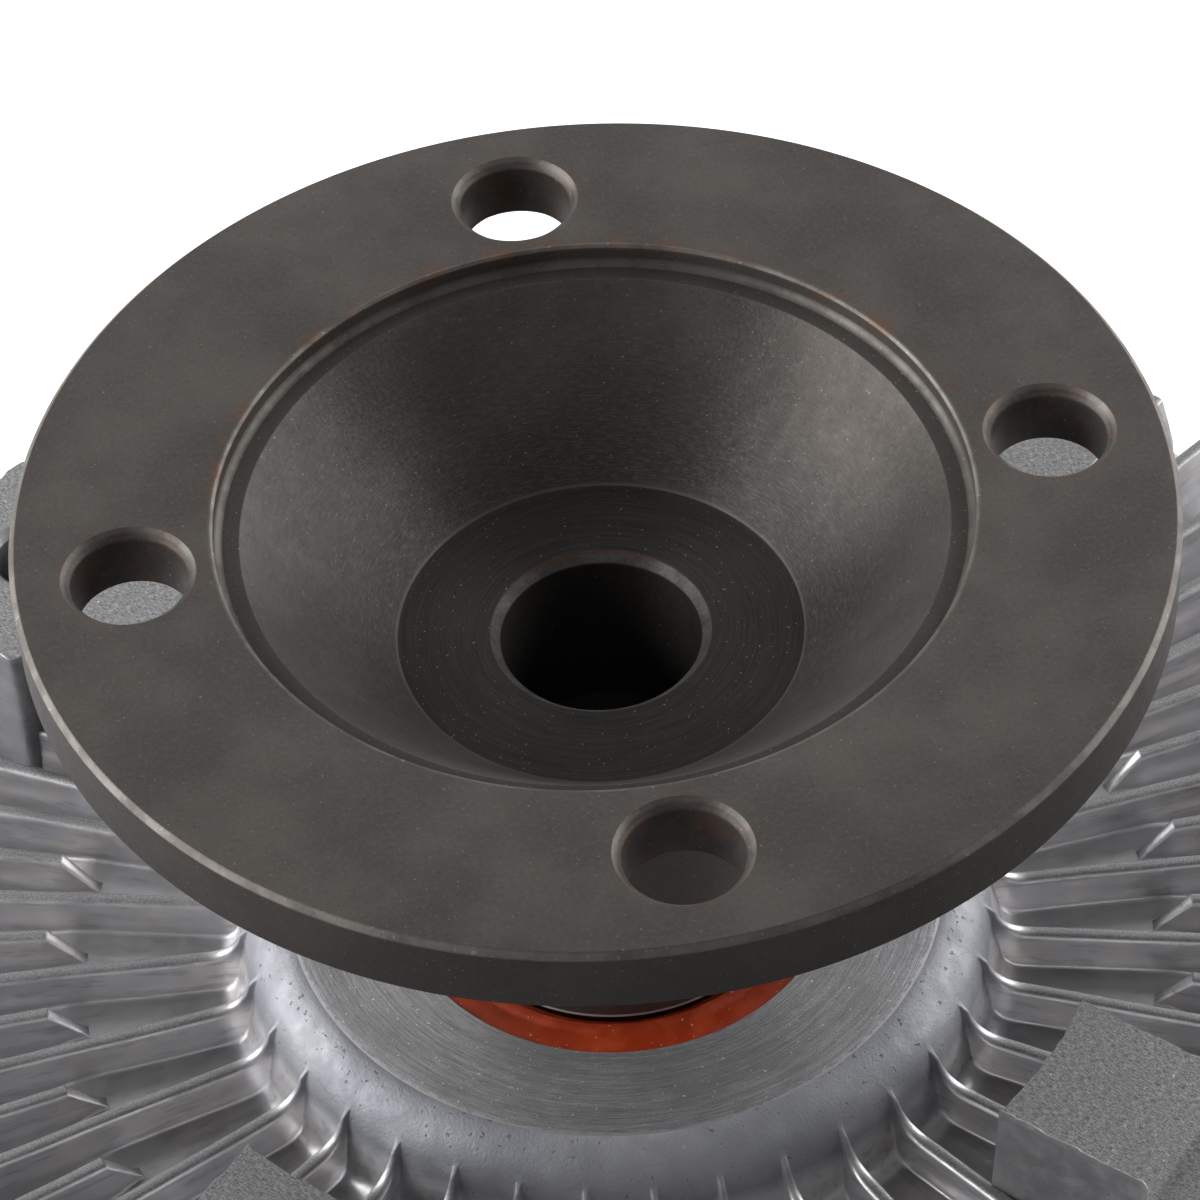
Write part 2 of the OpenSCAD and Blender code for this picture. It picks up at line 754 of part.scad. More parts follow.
// Section of the front cover without its fins: rim, working face, reservoir and valve bore
module cover_section() {
    bore_r = valve_r + running_gap;
    groove_room = 0.4;
    groove_w = sealing_t + groove_room;
    difference() {
        union() {
            polygon([
                [work_r, z_joint],
                [body_r, z_joint],
                [body_r, z_cover_face + rim_edge],
                [body_r - rim_edge, z_cover_face],
                [cover_mid_r + cover_slope_w, z_cover_face],
                [cover_mid_r, z_cover_mid],
                [valve_boss_r, z_cover_mid],
                [valve_boss_r, z_valve_boss],
                [bore_r, z_valve_boss],
                [bore_r, z_inner_boss],
                [valve_boss_r, z_inner_boss],
                [valve_boss_r, z_reservoir],
                [reservoir_r, z_reservoir],
                [reservoir_r, z_divider_low],
                [divider_r, z_divider_low],
                [divider_r, z_divider],
                [divider_r + divider_wall, z_divider],
                [divider_r + divider_wall, z_cover_base],
                [work_r, z_cover_base]
            ]);
            for (i = [0:land_count - 2])
                translate([land_r + (i + 0.5) * land_pitch - land_t / 2, z_cover_base - slice])
                    square([land_t, z_web - land_tip_gap - z_cover_base + slice]);
        }
        translate([sealing_r - groove_w / 2, z_joint - sealing_t]) square([groove_w, sealing_t + over]);
        translate([bore_r - over, z_valve_ring - valve_ring_r - seat_gap])
            square([valve_ring_r * 2 + seat_gap + over, (valve_ring_r + seat_gap) * 2]);
    }
}

// Side outline of a front fin in radius and depth below the flange face
module front_fin_outline() {
    ramp = 4;
    polygon([
        [front_fin_r, -z_cover_mid - fin_sink],
        [cover_mid_r, -z_cover_mid - fin_sink],
        [cover_mid_r + cover_slope_w, -z_cover_face - fin_sink],
        [body_r - rim_edge, -z_cover_face - fin_sink],
        [body_r - rim_edge, -z_cover_face + rim_edge],
        [fin_end_r - rim_edge, -z_front],
        [front_fin_r + ramp, -z_front],
        [front_fin_r, -z_cover_mid + ramp]
    ]);
}

module front_cover() {
    post_w = 8;
    post_x = coil_end_x + coil_t;
    fin_low = -z_cover_face - fin_sink - slice;
    fin_high = -z_front + slice;
    screw_hole_d = cover_screw_d + screw_room;
    tap_d = divider_screw_d + seat_gap * 2;
    color(cast_alloy) difference() {
        union() {
            rotate_extrude() cover_section();
            mirror([0, 0, 1]) around(fin_count, 0, fin_angle / 2)
                drafted_fin(front_fin_t, front_fin_draft, -z_front, fin_low, fin_high, body_r)
                    front_fin_outline();
            translate([post_x, (coil_t - post_w) / 2, z_coil_end])
                cube([coil_tab - coil_t, post_w, z_cover_mid - z_coil_end + over]);
        }
        translate([post_x - over, -running_gap, z_coil_end - over])
            cube([coil_tab + over, coil_t + running_gap * 2, coil_w + running_gap + over]);
        around(cover_screws_n, cover_screw_r)
            translate([0, 0, z_cover_face - over])
                cylinder(d = screw_hole_d, h = z_joint - z_cover_face + over * 2);
        divider_screw_places()
            translate([0, 0, z_divider_low - divider_grip - over])
                cylinder(d = tap_d, h = divider_grip + over * 2);
        translate([0, plug_circle_r, z_cover_mid - over]) cylinder(r = plug_r, h = reservoir_t + over * 2);
        wiper_block(seat_gap, z_cover_base - wiper_seat, z_cover_base + over);
    }
}

module cover_seal_ring() {
    color(rubber_black) rotate_extrude()
        translate([sealing_r, z_joint - sealing_t / 2]) circle(r = sealing_t / 2 - seat_gap);
}

// Hexagon screws through the cover's rim into the rear housing
module cover_screws() {
    hex_ratio = 1.84;
    head_ratio = 0.7;
    head_d = cover_screw_d * hex_ratio;
    head_h = cover_screw_d * head_ratio;
    end_gap = 0.8;
    shank_h = z_joint - z_cover_face + cover_tap_h - end_gap;
    color(steel_bright) around(cover_screws_n, cover_screw_r) {
        translate([0, 0, z_cover_face]) cylinder(d = cover_screw_d - seat_gap * 2, h = shank_h);
        translate([0, 0, z_cover_face - head_h]) cylinder(d = head_d, h = head_h, $fn = 6);
    }
}

// Pressed plug in the hole through which the reservoir is filled
module fill_plug() {
    color(steel_bright) translate([0, plug_circle_r, z_cover_mid]) cylinder(r = plug_r - seat_gap, h = reservoir_t);
}

flange_shaft();
bearing_inner_ring();
bearing_outer_ring();
bearing_balls();
bearing_cage();
rear_bearing_seal();
front_bearing_seal();
rear_housing();
rotor_disc();
rotor_keeper_ring();
divider_plate();
divider_screws();
pump_wiper();
valve_arm();
valve_shaft();
valve_seal_ring();
valve_clip();
bimetal_coil();
front_cover();
cover_seal_ring();
cover_screws();
fill_plug();
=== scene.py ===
"""Looks of a viscous fan clutch: dark turned flange, orange bearing seal and a finned cast body.

Sizes are in millimetres, as in the part's source, and become metres where a mesh is made.
"""

import json
import math

import bmesh
import bpy
from mathutils import Matrix, Vector, noise


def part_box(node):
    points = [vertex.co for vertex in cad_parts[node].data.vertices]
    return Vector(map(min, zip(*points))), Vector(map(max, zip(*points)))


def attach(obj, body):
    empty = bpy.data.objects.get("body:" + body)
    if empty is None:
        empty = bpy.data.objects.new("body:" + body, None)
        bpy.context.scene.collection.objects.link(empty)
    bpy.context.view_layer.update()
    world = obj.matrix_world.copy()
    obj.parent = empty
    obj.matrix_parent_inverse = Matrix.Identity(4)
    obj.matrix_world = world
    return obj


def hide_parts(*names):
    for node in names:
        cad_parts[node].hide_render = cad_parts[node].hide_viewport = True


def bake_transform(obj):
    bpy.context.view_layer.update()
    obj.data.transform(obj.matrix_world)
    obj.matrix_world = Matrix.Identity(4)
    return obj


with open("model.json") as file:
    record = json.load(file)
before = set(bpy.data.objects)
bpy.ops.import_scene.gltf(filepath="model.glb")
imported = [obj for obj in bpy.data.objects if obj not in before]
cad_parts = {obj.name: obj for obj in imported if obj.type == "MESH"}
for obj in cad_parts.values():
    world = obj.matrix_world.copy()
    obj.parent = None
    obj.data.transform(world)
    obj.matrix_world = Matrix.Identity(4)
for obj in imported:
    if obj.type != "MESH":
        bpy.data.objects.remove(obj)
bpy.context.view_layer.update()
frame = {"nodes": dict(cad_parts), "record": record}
nodes = frame["nodes"]
mounts = {mount["name"]: mount["dims"] for mount in frame["record"]["mounts"]}

MM = 0.001
MERGE_GAP = 1e-6
SHARP_ANGLE = math.radians(32)

# The casting's unevenness comes out the same in each run
NOISE_SEED = 1
noise.seed_set(NOISE_SEED)


def measured(node):
    """Reach along x, lowest and highest level of a CAD node, in millimetres."""
    low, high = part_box(node)
    return tuple(round(size / MM, 2) for size in (high.x, low.z, high.z))


# Camera, as fitted to the flange's rim, holes and recess in the photo's pixels
PHOTO_SIZE = 1200
FOCAL_PIXELS = 4616.8
FLANGE_CENTRE_PIXEL = (593.36, 501.55)
VIEW_HEIGHT = math.radians(45.016)
VIEW_TURN = math.radians(-8.02)
VIEW_ROLL = math.radians(-3.3065)
VIEW_DISTANCE = 354.5
SENSOR_WIDTH = 36
CLIP_RANGE = (0.01, 20)

# Gap round fitted pieces, overshoot of cutting shapes and radius of a softened edge
FIT_GAP = 0.02
OVER = 1
EDGE_SOFT = 0.12

# Bearing and seal
RING_R, BEARING_END_Z, BEARING_Z = measured("bearing_outer_ring")
BEARING_R = RING_R + FIT_GAP
SEAL_R, SEAL_LOW_Z, SEAL_TOP_Z = measured("rear_bearing_seal")
SEAL_SEAT_R = SEAL_R + FIT_GAP
SEAL_BORE_R = 13.95
SEAL_STEP_Z = SEAL_LOW_Z + 1
SEAL_BAND = (14.95, 18.27)
SEAL_EDGE = 0.3
SEAL_GROOVE = (15.8, 16.5)
SEAL_GROOVE_SIDE = 0.2
SEAL_GROOVE_DEPTH = 0.12

# Flange and shaft, with the flange's face at level 0
FLANGE_R, SHAFT_END_Z, _ = measured("flange_shaft")
FLANGE_T = 6
FLANGE_EDGE = 0.45
BOLT_CIRCLE_R = mounts["flange_bolts"]["pcd_mm"] / 2
BOLT_HOLE_R = mounts["flange_bolts"]["hole_r_mm"]
BOLT_COUNT = mounts["flange_bolts"]["count"]
BOLT_HOLE_EDGE = 0.7
HOLE_LIP_R = BOLT_HOLE_R + BOLT_HOLE_EDGE
REGISTER_R = mounts["hub_register"]["r_mm"]
REGISTER_DEPTH = 1.85
REGISTER_FILLET = 0.6
REGISTER_LIP_R = REGISTER_R + FLANGE_EDGE / 2
LEDGE_R = REGISTER_R - REGISTER_FILLET
LEDGE_Z = -REGISTER_DEPTH
CONE_R = REGISTER_R - 1.9
RECESS_R = 16.1
RECESS_Z = -14.3
CONE_SLOPE = (CONE_R - RECESS_R) / (LEDGE_Z - RECESS_Z)
PILOT_R = mounts["pilot_bore"]["r_mm"]
PILOT_EDGE = 0.7
PILOT_LIP_R = PILOT_R + PILOT_EDGE
PILOT_Z = RECESS_Z - PILOT_EDGE
PILOT_END_Z = RECESS_Z - 16
NECK_ROOT_R = 31.03
NECK_R = 14.6
NECK_Z = -24.13
COLLAR_END_Z = BEARING_Z + 1
SHOULDER_R = 13.25
SHAFT_R = 10
SHAFT_STEP_Z = BEARING_END_Z + FIT_GAP
ROTOR_SEAT_R = 8
_, KEEPER_END_Z, KEEPER_Z = measured("rotor_keeper_ring")
KEEPER_GROOVE = 0.7

# Rear housing
BODY_R, JOINT_Z, PAD_Z = measured("rear_housing")
JOINT_EDGE = 0.3
LIP_R = 18.35
LIP_Z = SEAL_TOP_Z + 0.35
LIP_EDGE = 0.3
FACE_R = 27.5
FACE_Z = -43.9
BOSS_R = 31.5
ROUND_R = 5
ROUND_CENTRE = (BOSS_R - ROUND_R, -48.8)
BOSS_FOOT_R = BOSS_R + 0.7
BOSS_FILLET = 2
CREST_Z = -49.6
FLOOR_Z = CREST_Z - 3.6
KNEE_R = 47
RIM_EDGE = 2
BODY_ROUND = 0.8
FLOOR_END = (BODY_R - RIM_EDGE * 2, -58.5)
BODY_EDGE = (BODY_R, FLOOR_END[1] - RIM_EDGE)
REAR_FLOOR = ((BOSS_FOOT_R, FLOOR_Z), (KNEE_R, FLOOR_Z), FLOOR_END, BODY_EDGE)
SWEEP_R = 3.2
SWEEP_CENTRE = (34.85, CREST_Z + SWEEP_R)
SHORT_FIN_R = 45.4
SHORT_FIN_TOP_R = 48.5
FIN_END_R = 79.5
FIN_FOOT = (FLOOR_END[0] + RIM_EDGE, FLOOR_END[1] - 1)
FIN_COUNT = 36
FIN_STEP = math.tau / FIN_COUNT
CHAMBER_R = 72
CEILING_Z = -61

# Fan pads
PAD_COUNT = mounts["fan_bolts"]["count"]
FAN_HOLE_AT = mounts["fan_bolts"]["pcd_mm"] / 2
FAN_HOLE_R = mounts["fan_bolts"]["hole_r_mm"]
FAN_HOLE_DEPTH = 14
FAN_HOLE_EDGE = 0.7
FAN_HOLE_TIP = 1.8
PAD_LOW_Z = -59.7
PAD_INNER_R = 41.8
PAD_HALF = 6.5
PAD_HEAD_HALF = 11
PAD_HEAD_R = 55.3
PAD_END_R = 71
PAD_CORNER = 4
PAD_SHOULDER_ROUND = 0.8
PAD_NECK_FILLET = 1.2
PAD_MIDDLE_R = 58
PAD_DRAFT = math.radians(1.6)

# Front cover
_, FRONT_Z, LAND_TIP_Z = measured("front_cover")
COVER_WORK_R = 71.2
COVER_BASE_Z = -72.5
COVER_FACE_Z = -77.5
COVER_MID_Z = -81.5
COVER_MID_R = 44
COVER_SLOPE_R = 50
COVER_ROUND = ((1.7, 0.2), (0.2, 1.6), (0, 2.1))
VALVE_BOSS_R = 8.5
VALVE_BOSS_Z = -83.2
VALVE_BOSS_EDGE = 0.4
VALVE_BOSS_DRAFT = 0.1
VALVE_INNER_Z = -74.3
VALVE_BORE_R = 4.05
VALVE_BORE_EDGE = 0.2
VALVE_SEAL_R, VALVE_SEAL_END_Z, VALVE_SEAL_Z = measured("valve_seal_ring")
RESERVOIR_R = 34
RESERVOIR_Z = -77.5
DIVIDER_R, DIVIDER_LOW_Z, DIVIDER_Z = measured("divider_plate")
DIVIDER_WALL_R = 43.5
_, COVER_SEAL_Z, _ = measured("cover_seal_ring")
COVER_SEAL_GROOVE = (73.6, 75.6)
LAND_R = 48.5
LAND_PITCH = 5
LAND_HALF = 1
LAND_COUNT = 4
FRONT_FIN_R = 30
FRONT_FIN_LEAD_Z = -85.5
FRONT_FIN_TOP_R = 34
FRONT_FIN_END_R = 77.5
FRONT_FIN_FOOT = (82, -79.5)
COVER_FLOOR = (
    (VALVE_BOSS_R, COVER_MID_Z), (COVER_MID_R, COVER_MID_Z),
    (COVER_SLOPE_R, COVER_FACE_Z), (BODY_R, COVER_FACE_Z),
)
FRONT_CREST = ((FRONT_FIN_R, FRONT_FIN_LEAD_Z), (FRONT_FIN_TOP_R, FRONT_Z), (FRONT_FIN_END_R, FRONT_Z))

# Screws, coil and the coil's post
SCREW_REACH, SCREW_HEAD_Z, SCREW_END_Z = measured("cover_screws")
SCREW_HEAD_R = 4.6
SCREW_CIRCLE_R = SCREW_REACH - SCREW_HEAD_R
SCREW_R = 2.48
SCREW_COUNT = 6
_, COIL_END_Z, COIL_Z = measured("bimetal_coil")
COIL_R = 6
COIL_HALF_PITCH = 1.25
COIL_HALVES = 12
COIL_END_R = COIL_R + COIL_HALVES * COIL_HALF_PITCH
COIL_T = 1
COIL_TAB = 6
COIL_SLOT_REACH = 2.8
POST_W = 8
POST_SLOT_GAP = 0.05
POST_EDGE = 0.2
POST_ROUND = 0.5

# Fin sections and the casting's unevenness
COLUMN_GAP = 0.03
TIP_TAPER = 0.11
TIP_HALF = 0.2
TIP_SHARE = 0.16
THIN_END = 0.5
LONG_FIN_ROOM = 0.6
SHORT_FIN_ROOM = 0.38
UNEVEN_R = (33, 81)
UNEVEN_BY = 0.14
UNEVEN_PATCH = 9.0


# Outlines

def arc(centre, radius, start, end, steps):
    """Points of an arc from one angle to another, in degrees."""
    angles = [math.radians(start + (end - start) * i / steps) for i in range(steps + 1)]
    return [(centre[0] + radius * math.cos(a), centre[1] + radius * math.sin(a)) for a in angles]


def between(a, b, share):
    """The point at that share of the way from a to b."""
    return tuple(p + (q - p) * share for p, q in zip(a, b))


def along(points, share):
    """The point at that share of a broken line's length."""
    lengths = [math.dist(a, b) for a, b in zip(points, points[1:])]
    left = share * sum(lengths)
    for a, b, length in zip(points, points[1:], lengths):
        if left <= length:
            return between(a, b, left / length)
        left -= length
    return points[-1]


def on_line(points, r):
    """The point at a radius on a broken line that runs outwards."""
    for (r0, z0), (r1, z1) in zip(points, points[1:]):
        if r <= r1:
            return r, z0 + (z1 - z0) * (r - r0) / (r1 - r0)
    return points[-1]


def stepped(z, *walls):
    """A stepped section: from a level, out or in to each wall's radius and along it to its end."""
    points = []
    for r, end_z in walls:
        points += [(r, z), (r, end_z)]
        z = end_z
    return points


def sides(points):
    """Pairs of neighbouring points round a closed outline."""
    return list(zip(points, points[1:] + points[:1]))


def finer(points, counts):
    """A closed outline with each side cut into its count of steps."""
    result = []
    for (a, b), steps in zip(sides(points), counts):
        result += [between(a, b, k / steps) for k in range(steps)]
    return result


def rounded(points, radius, steps=3, closed=True):
    """An outline with each corner rounded as far as its sides allow; an open one keeps its ends."""
    sharpest, straightest, most = 0.2, 3.0, 0.45
    result = []
    for i, here in enumerate(points):
        if not closed and i in (0, len(points) - 1):
            result.append(here)
            continue
        before, after = Vector(points[i - 1]), Vector(points[(i + 1) % len(points)])
        here = Vector(here)
        to_before, to_after = before - here, after - here
        turn = to_before.angle(to_after, 0)
        if turn < sharpest or turn > straightest:
            result.append(tuple(here))
            continue
        reach = min(radius / math.tan(turn / 2), to_before.length * most, to_after.length * most)
        first = here + to_before.normalized() * reach
        last = here + to_after.normalized() * reach
        for k in range(steps + 1):
            t = k / steps
            result.append(tuple(first * (1 - t) ** 2 + here * 2 * t * (1 - t) + last * t ** 2))
    return result


# Meshes

def finish_mesh(mesh):
    """Closes seams, points faces outwards and shades the mesh smooth between its sharp edges."""
    work = bmesh.new()
    work.from_mesh(mesh)
    bmesh.ops.remove_doubles(work, verts=work.verts, dist=MERGE_GAP)
    bmesh.ops.dissolve_degenerate(work, edges=work.edges, dist=MERGE_GAP)
    loose = [edge for edge in work.edges if edge.is_wire]
    bmesh.ops.delete(work, geom=loose, context="EDGES")
    bmesh.ops.recalc_face_normals(work, faces=work.faces)
    work.to_mesh(mesh)
    work.free()
    shade(mesh)


def shade(mesh):
    """Smooth shading between sharp edges."""
    mesh.polygons.foreach_set("use_smooth", [True] * len(mesh.polygons))
    mesh.set_sharp_from_angle(angle=SHARP_ANGLE)


def placed(name, data):
    """An object with this data, put in the scene."""
    obj = bpy.data.objects.new(name, data)
    bpy.context.scene.collection.objects.link(obj)
    return obj


def mesh_object(name, points, faces):
    """An object from points in millimetres."""
    mesh = bpy.data.meshes.new(name)
    mesh.from_pydata([tuple(c * MM for c in p) for p in points], [], faces)
    finish_mesh(mesh)
    return placed(name, mesh)


def grid_faces(rows, columns, close_rows=False, close_columns=False):
    """Quads between neighbouring rows and columns of a grid of points."""
    faces = []
    for i in range(rows if close_rows else rows - 1):
        for j in range(columns if close_columns else columns - 1):
            a, b = i * columns + j, i * columns + (j + 1) % columns
            step = ((i + 1) % rows - i) * columns
            faces.append((a, b, b + step, a + step))
    return faces


def turned(name, section, steps):
    """A closed section of radius and height, turned round the axis."""
    points = []
    for j in range(steps):
        a = math.tau * j / steps
        points += [(r * math.cos(a), r * math.sin(a), z) for r, z in section]
    return mesh_object(name, points, grid_faces(steps, len(section), True, True))


def lofted(name, rings):
    """A closed shape through rings of the same number of points, with flat ends."""
    count = len(rings[0])
    points = [p for ring in rings for p in ring]
    faces = grid_faces(len(rings), count, False, True)
    faces.append(tuple(range(count)))
    faces.append(tuple(range(len(points) - count, len(points))))
    return mesh_object(name, points, faces)


def shift(obj, x, z=0):
    """Moves a shape's points out along x and up, in millimetres."""
    obj.data.transform(Matrix.Translation((x * MM, 0, z * MM)))


def plain_copy(obj):
    """Turns what the modifiers give into a plain mesh."""
    evaluated = obj.evaluated_get(bpy.context.evaluated_depsgraph_get())
    mesh = bpy.data.meshes.new_from_object(evaluated)
    obj.modifiers.clear()
    obj.data = mesh
    mesh.name = obj.name


def cut(obj, tool):
    """Cuts a tool's shape out of a piece."""
    change = obj.modifiers.new("cut", "BOOLEAN")
    change.operation = "DIFFERENCE"
    change.solver = "EXACT"
    change.object = tool
    plain_copy(obj)
    bpy.data.objects.remove(tool)
    finish_mesh(obj.data)


def joined(obj, *others):
    """Puts the meshes of other objects into one."""
    work = bmesh.new()
    work.from_mesh(obj.data)
    for other in others:
        work.from_mesh(other.data)
        bpy.data.objects.remove(other)
    work.to_mesh(obj.data)
    work.free()
    shade(obj.data)
    return obj


def make_ring_tree():
    """Geometry nodes that copy a shape round the axis."""
    tree = bpy.data.node_groups.new("ring_of_copies", "GeometryNodeTree")
    inputs = (("Shape", "Geometry"), ("Count", "Int"), ("First Angle", "Float"), ("Finish", "Material"))
    for name, kind in inputs:
        tree.interface.new_socket(name, in_out="INPUT", socket_type="NodeSocket" + kind)
    tree.interface.new_socket("Ring", in_out="OUTPUT", socket_type="NodeSocketGeometry")
    add = tree.nodes.new
    start, end = add("NodeGroupInput"), add("NodeGroupOutput")
    points, index = add("GeometryNodePoints"), add("GeometryNodeInputIndex")
    share, turn = add("ShaderNodeMath"), add("ShaderNodeMath")
    spin, copies = add("ShaderNodeCombineXYZ"), add("GeometryNodeInstanceOnPoints")
    real, merge = add("GeometryNodeRealizeInstances"), add("GeometryNodeMergeByDistance")
    paint_all = add("GeometryNodeSetMaterial")
    share.operation = "DIVIDE"
    turn.operation = "MULTIPLY_ADD"
    turn.inputs[1].default_value = math.tau
    merge.inputs["Distance"].default_value = MERGE_GAP
    wires = (
        (start, "Count", points, "Count"), (index, 0, share, 0), (start, "Count", share, 1),
        (share, 0, turn, 0), (start, "First Angle", turn, 2), (turn, 0, spin, "Z"),
        (points, 0, copies, "Points"), (start, "Shape", copies, "Instance"), (spin, 0, copies, "Rotation"),
        (copies, 0, real, 0), (real, 0, merge, "Geometry"), (merge, 0, paint_all, "Geometry"),
        (start, "Finish", paint_all, "Material"), (paint_all, 0, end, 0),
    )
    for source, output, target, socket in wires:
        tree.links.new(source.outputs[output], target.inputs[socket])
    return tree


RING_TREE = make_ring_tree()


def ring_of(obj, count, first, material):
    """Copies a piece round the axis, from its first angle in radians."""
    change = obj.modifiers.new("ring", "NODES")
    change.node_group = RING_TREE
    values = {"Count": count, "First Angle": first, "Finish": material}
    for item in RING_TREE.interface.items_tree:
        if item.in_out == "INPUT" and item.name in values:
            change[item.identifier] = values[item.name]
    plain_copy(obj)
    finish_mesh(obj.data)
    return obj


def paint(obj, material):
    """One finish all over a piece."""
    obj.data.materials.clear()
    obj.data.materials.append(material)


def repaint(obj, material, test):
    """Gives a second finish to the faces whose middle and normal pass a test, in millimetres."""
    obj.data.materials.append(material)
    index = len(obj.data.materials) - 1
    for face in obj.data.polygons:
        if test(face.center / MM, face.normal):
            face.material_index = index


# Materials

class NodeWork:
    """Short ways to add shader nodes to a tree."""

    def __init__(self, tree):
        self.tree = tree

    def join(self, value, socket):
        """Links a socket, or sets a constant."""
        if isinstance(value, bpy.types.NodeSocket):
            self.tree.links.new(value, socket)
        else:
            socket.default_value = value

    def add(self, kind, inputs=None, **settings):
        """A new node with its settings, and with these inputs linked or set."""
        node = self.tree.nodes.new(kind)
        for key, value in settings.items():
            setattr(node, key, value)
        for key, value in (inputs or {}).items():
            self.join(value, node.inputs[key])
        return node

    def math(self, operation, a, b=0.0):
        return self.add("ShaderNodeMath", {0: a, 1: b}, operation=operation).outputs[0]

    def times(self, *values):
        """The product of several numbers or shares."""
        result = values[0]
        for value in values[1:]:
            result = self.math("MULTIPLY", result, value)
        return result

    def plus(self, a, b):
        return self.math("ADD", a, b)

    def most(self, a, b):
        return self.math("MAXIMUM", a, b)

    def reach(self, x, y):
        """Length of a plane vector."""
        return self.math("SQRT", self.plus(self.times(x, x), self.times(y, y)))

    def vector(self, x, y, z=0.0):
        return self.add("ShaderNodeCombineXYZ", {"X": x, "Y": y, "Z": z}).outputs[0]

    def band(self, value, low, high):
        """0 below low and 1 above high, or the other way round where low is above high."""
        ends = (low, high, 0.0, 1.0) if low < high else (high, low, 1.0, 0.0)
        inputs = dict(zip(("From Min", "From Max", "To Min", "To Max"), ends), Value=value)
        return self.add("ShaderNodeMapRange", inputs, interpolation_type="SMOOTHSTEP").outputs["Result"]

    def within(self, value, low, high, blur):
        """1 from low to high, falling to 0 over a blur on either side."""
        return self.times(self.band(value, low - blur, low), self.band(value, high + blur, high))

    def level(self, share, low, high):
        """A number that goes from low to high as a share goes from 0 to 1."""
        return self.plus(self.times(share, high - low), low)


class Finish(NodeWork):
    """A procedural material on Object coordinates in millimetres, whose tint is built up in layers."""

    def __init__(self, name, colour, metal, rough):
        self.material = bpy.data.materials.new(name)
        self.material.use_nodes = True
        super().__init__(self.material.node_tree)
        self.shader = self.tree.nodes["Principled BSDF"]
        self.tint = colour
        self.give("Base Color", (*colour, 1))
        self.give("Metallic", metal)
        self.give("Roughness", rough)
        place = self.add("ShaderNodeTexCoord").outputs["Object"]
        scaled = self.add("ShaderNodeVectorMath", {0: place, "Scale": 1 / MM}, operation="SCALE")
        self.place = scaled.outputs[0]
        self.x, self.y, self.z = self.add("ShaderNodeSeparateXYZ", {0: self.place}).outputs
        self.radius = self.reach(self.x, self.y)
        self.angle = self.math("ARCTAN2", self.y, self.x)

    def give(self, socket, value):
        """Sets or links one of the shader's own sockets."""
        self.join(value, self.shader.inputs[socket])

    def noise(self, scale, detail=3.0, rough=0.55, at=None):
        """Noise from 0 to 1 with about this many patches a millimetre."""
        inputs = {"Vector": at or self.place, "Scale": scale, "Detail": detail, "Roughness": rough}
        return self.add("ShaderNodeTexNoise", inputs).outputs["Fac"]

    def patches(self, low, high, *look):
        """Patches of noise, with soft edges where it goes from low to high."""
        return self.band(self.noise(*look), low, high)

    def rings(self, scale, streak):
        """Fine turning lines round the axis, broken up along their way."""
        height = self.times(self.z, scale)
        across = self.times(self.radius, scale)
        return self.noise(1.0, 2.0, 0.6, self.vector(across, self.times(self.angle, streak), height))

    def mix(self, share, a, b):
        node = self.add("ShaderNodeMix", {"Factor": share}, data_type="RGBA")
        colours = [socket for socket in node.inputs if socket.type == "RGBA"]
        for value, socket in zip((a, b), colours):
            self.join(value if isinstance(value, bpy.types.NodeSocket) else (*value, 1), socket)
        return [socket for socket in node.outputs if socket.type == "RGBA"][0]

    def lay(self, colour, *shares):
        """Lays a colour over the tint, as far as the product of the shares."""
        self.tint = self.mix(self.times(*shares), self.tint, colour)

    def bump(self, height, depth, below=None):
        """Relief of this depth in millimetres."""
        inputs = {"Strength": 1.0, "Distance": depth * MM, "Height": height}
        if below is not None:
            inputs["Normal"] = below
        return self.add("ShaderNodeBump", inputs).outputs["Normal"]

    def done(self, rough, relief):
        """Gives the shader its tint, roughness and relief."""
        self.give("Base Color", self.tint)
        self.give("Roughness", rough)
        self.give("Normal", relief)
        return self.material


def hole_distance(f):
    """Distance from the middle of the nearest bolt hole."""
    across, up = f.math("ABSOLUTE", f.x), f.math("ABSOLUTE", f.y)
    off = f.math("SUBTRACT", f.most(across, up), BOLT_CIRCLE_R)
    return f.reach(off, f.math("MINIMUM", across, up))


def lathe_sheen(f, amount):
    """Highlights spread across fine turning lines round the axis."""
    quarter_turn = 0.25
    f.give("Anisotropic", amount)
    f.give("Anisotropic Rotation", quarter_turn)
    f.give("Tangent", f.add("ShaderNodeTangent", direction_type="RADIAL", axis="Z").outputs[0])


def start_oxide(name):
    """A mottled dark oxide: the finish and its fine grain."""
    f = Finish(name, (0.09, 0.08, 0.073), 0.45, 0.5)
    f.give("Specular IOR Level", 0.35)
    grain = f.noise(2.6, 3.0, 0.7)
    f.tint = f.mix(f.patches(0.35, 0.7, 0.09), (0.074, 0.065, 0.058), (0.106, 0.094, 0.085))
    f.lay((0.15, 0.14, 0.128), f.band(grain, 0.46, 0.75), 0.35)
    f.lay((0.036, 0.031, 0.028), f.band(grain, 0.4, 0.26), 0.6)
    return f, grain


def end_oxide(f, relief, edges, nicks):
    """Patchy bare metal on the edges, pale dust, uneven sheen and relief over an oxide."""
    worn = f.times(edges, f.level(f.patches(0.38, 0.62, 0.3, 2.0, 0.6), 0.25, 1.0))
    dust = f.times(f.patches(0.74, 0.78, 4.5, 1.0, 0.4), 0.45)
    f.lay((0.26, 0.245, 0.228), worn)
    f.lay((0.45, 0.42, 0.4), f.most(dust, nicks))
    f.give("Metallic", f.level(worn, 0.45, 1.0))
    return f.done(f.level(f.noise(0.8, 2.0), 0.4, 0.6), relief)


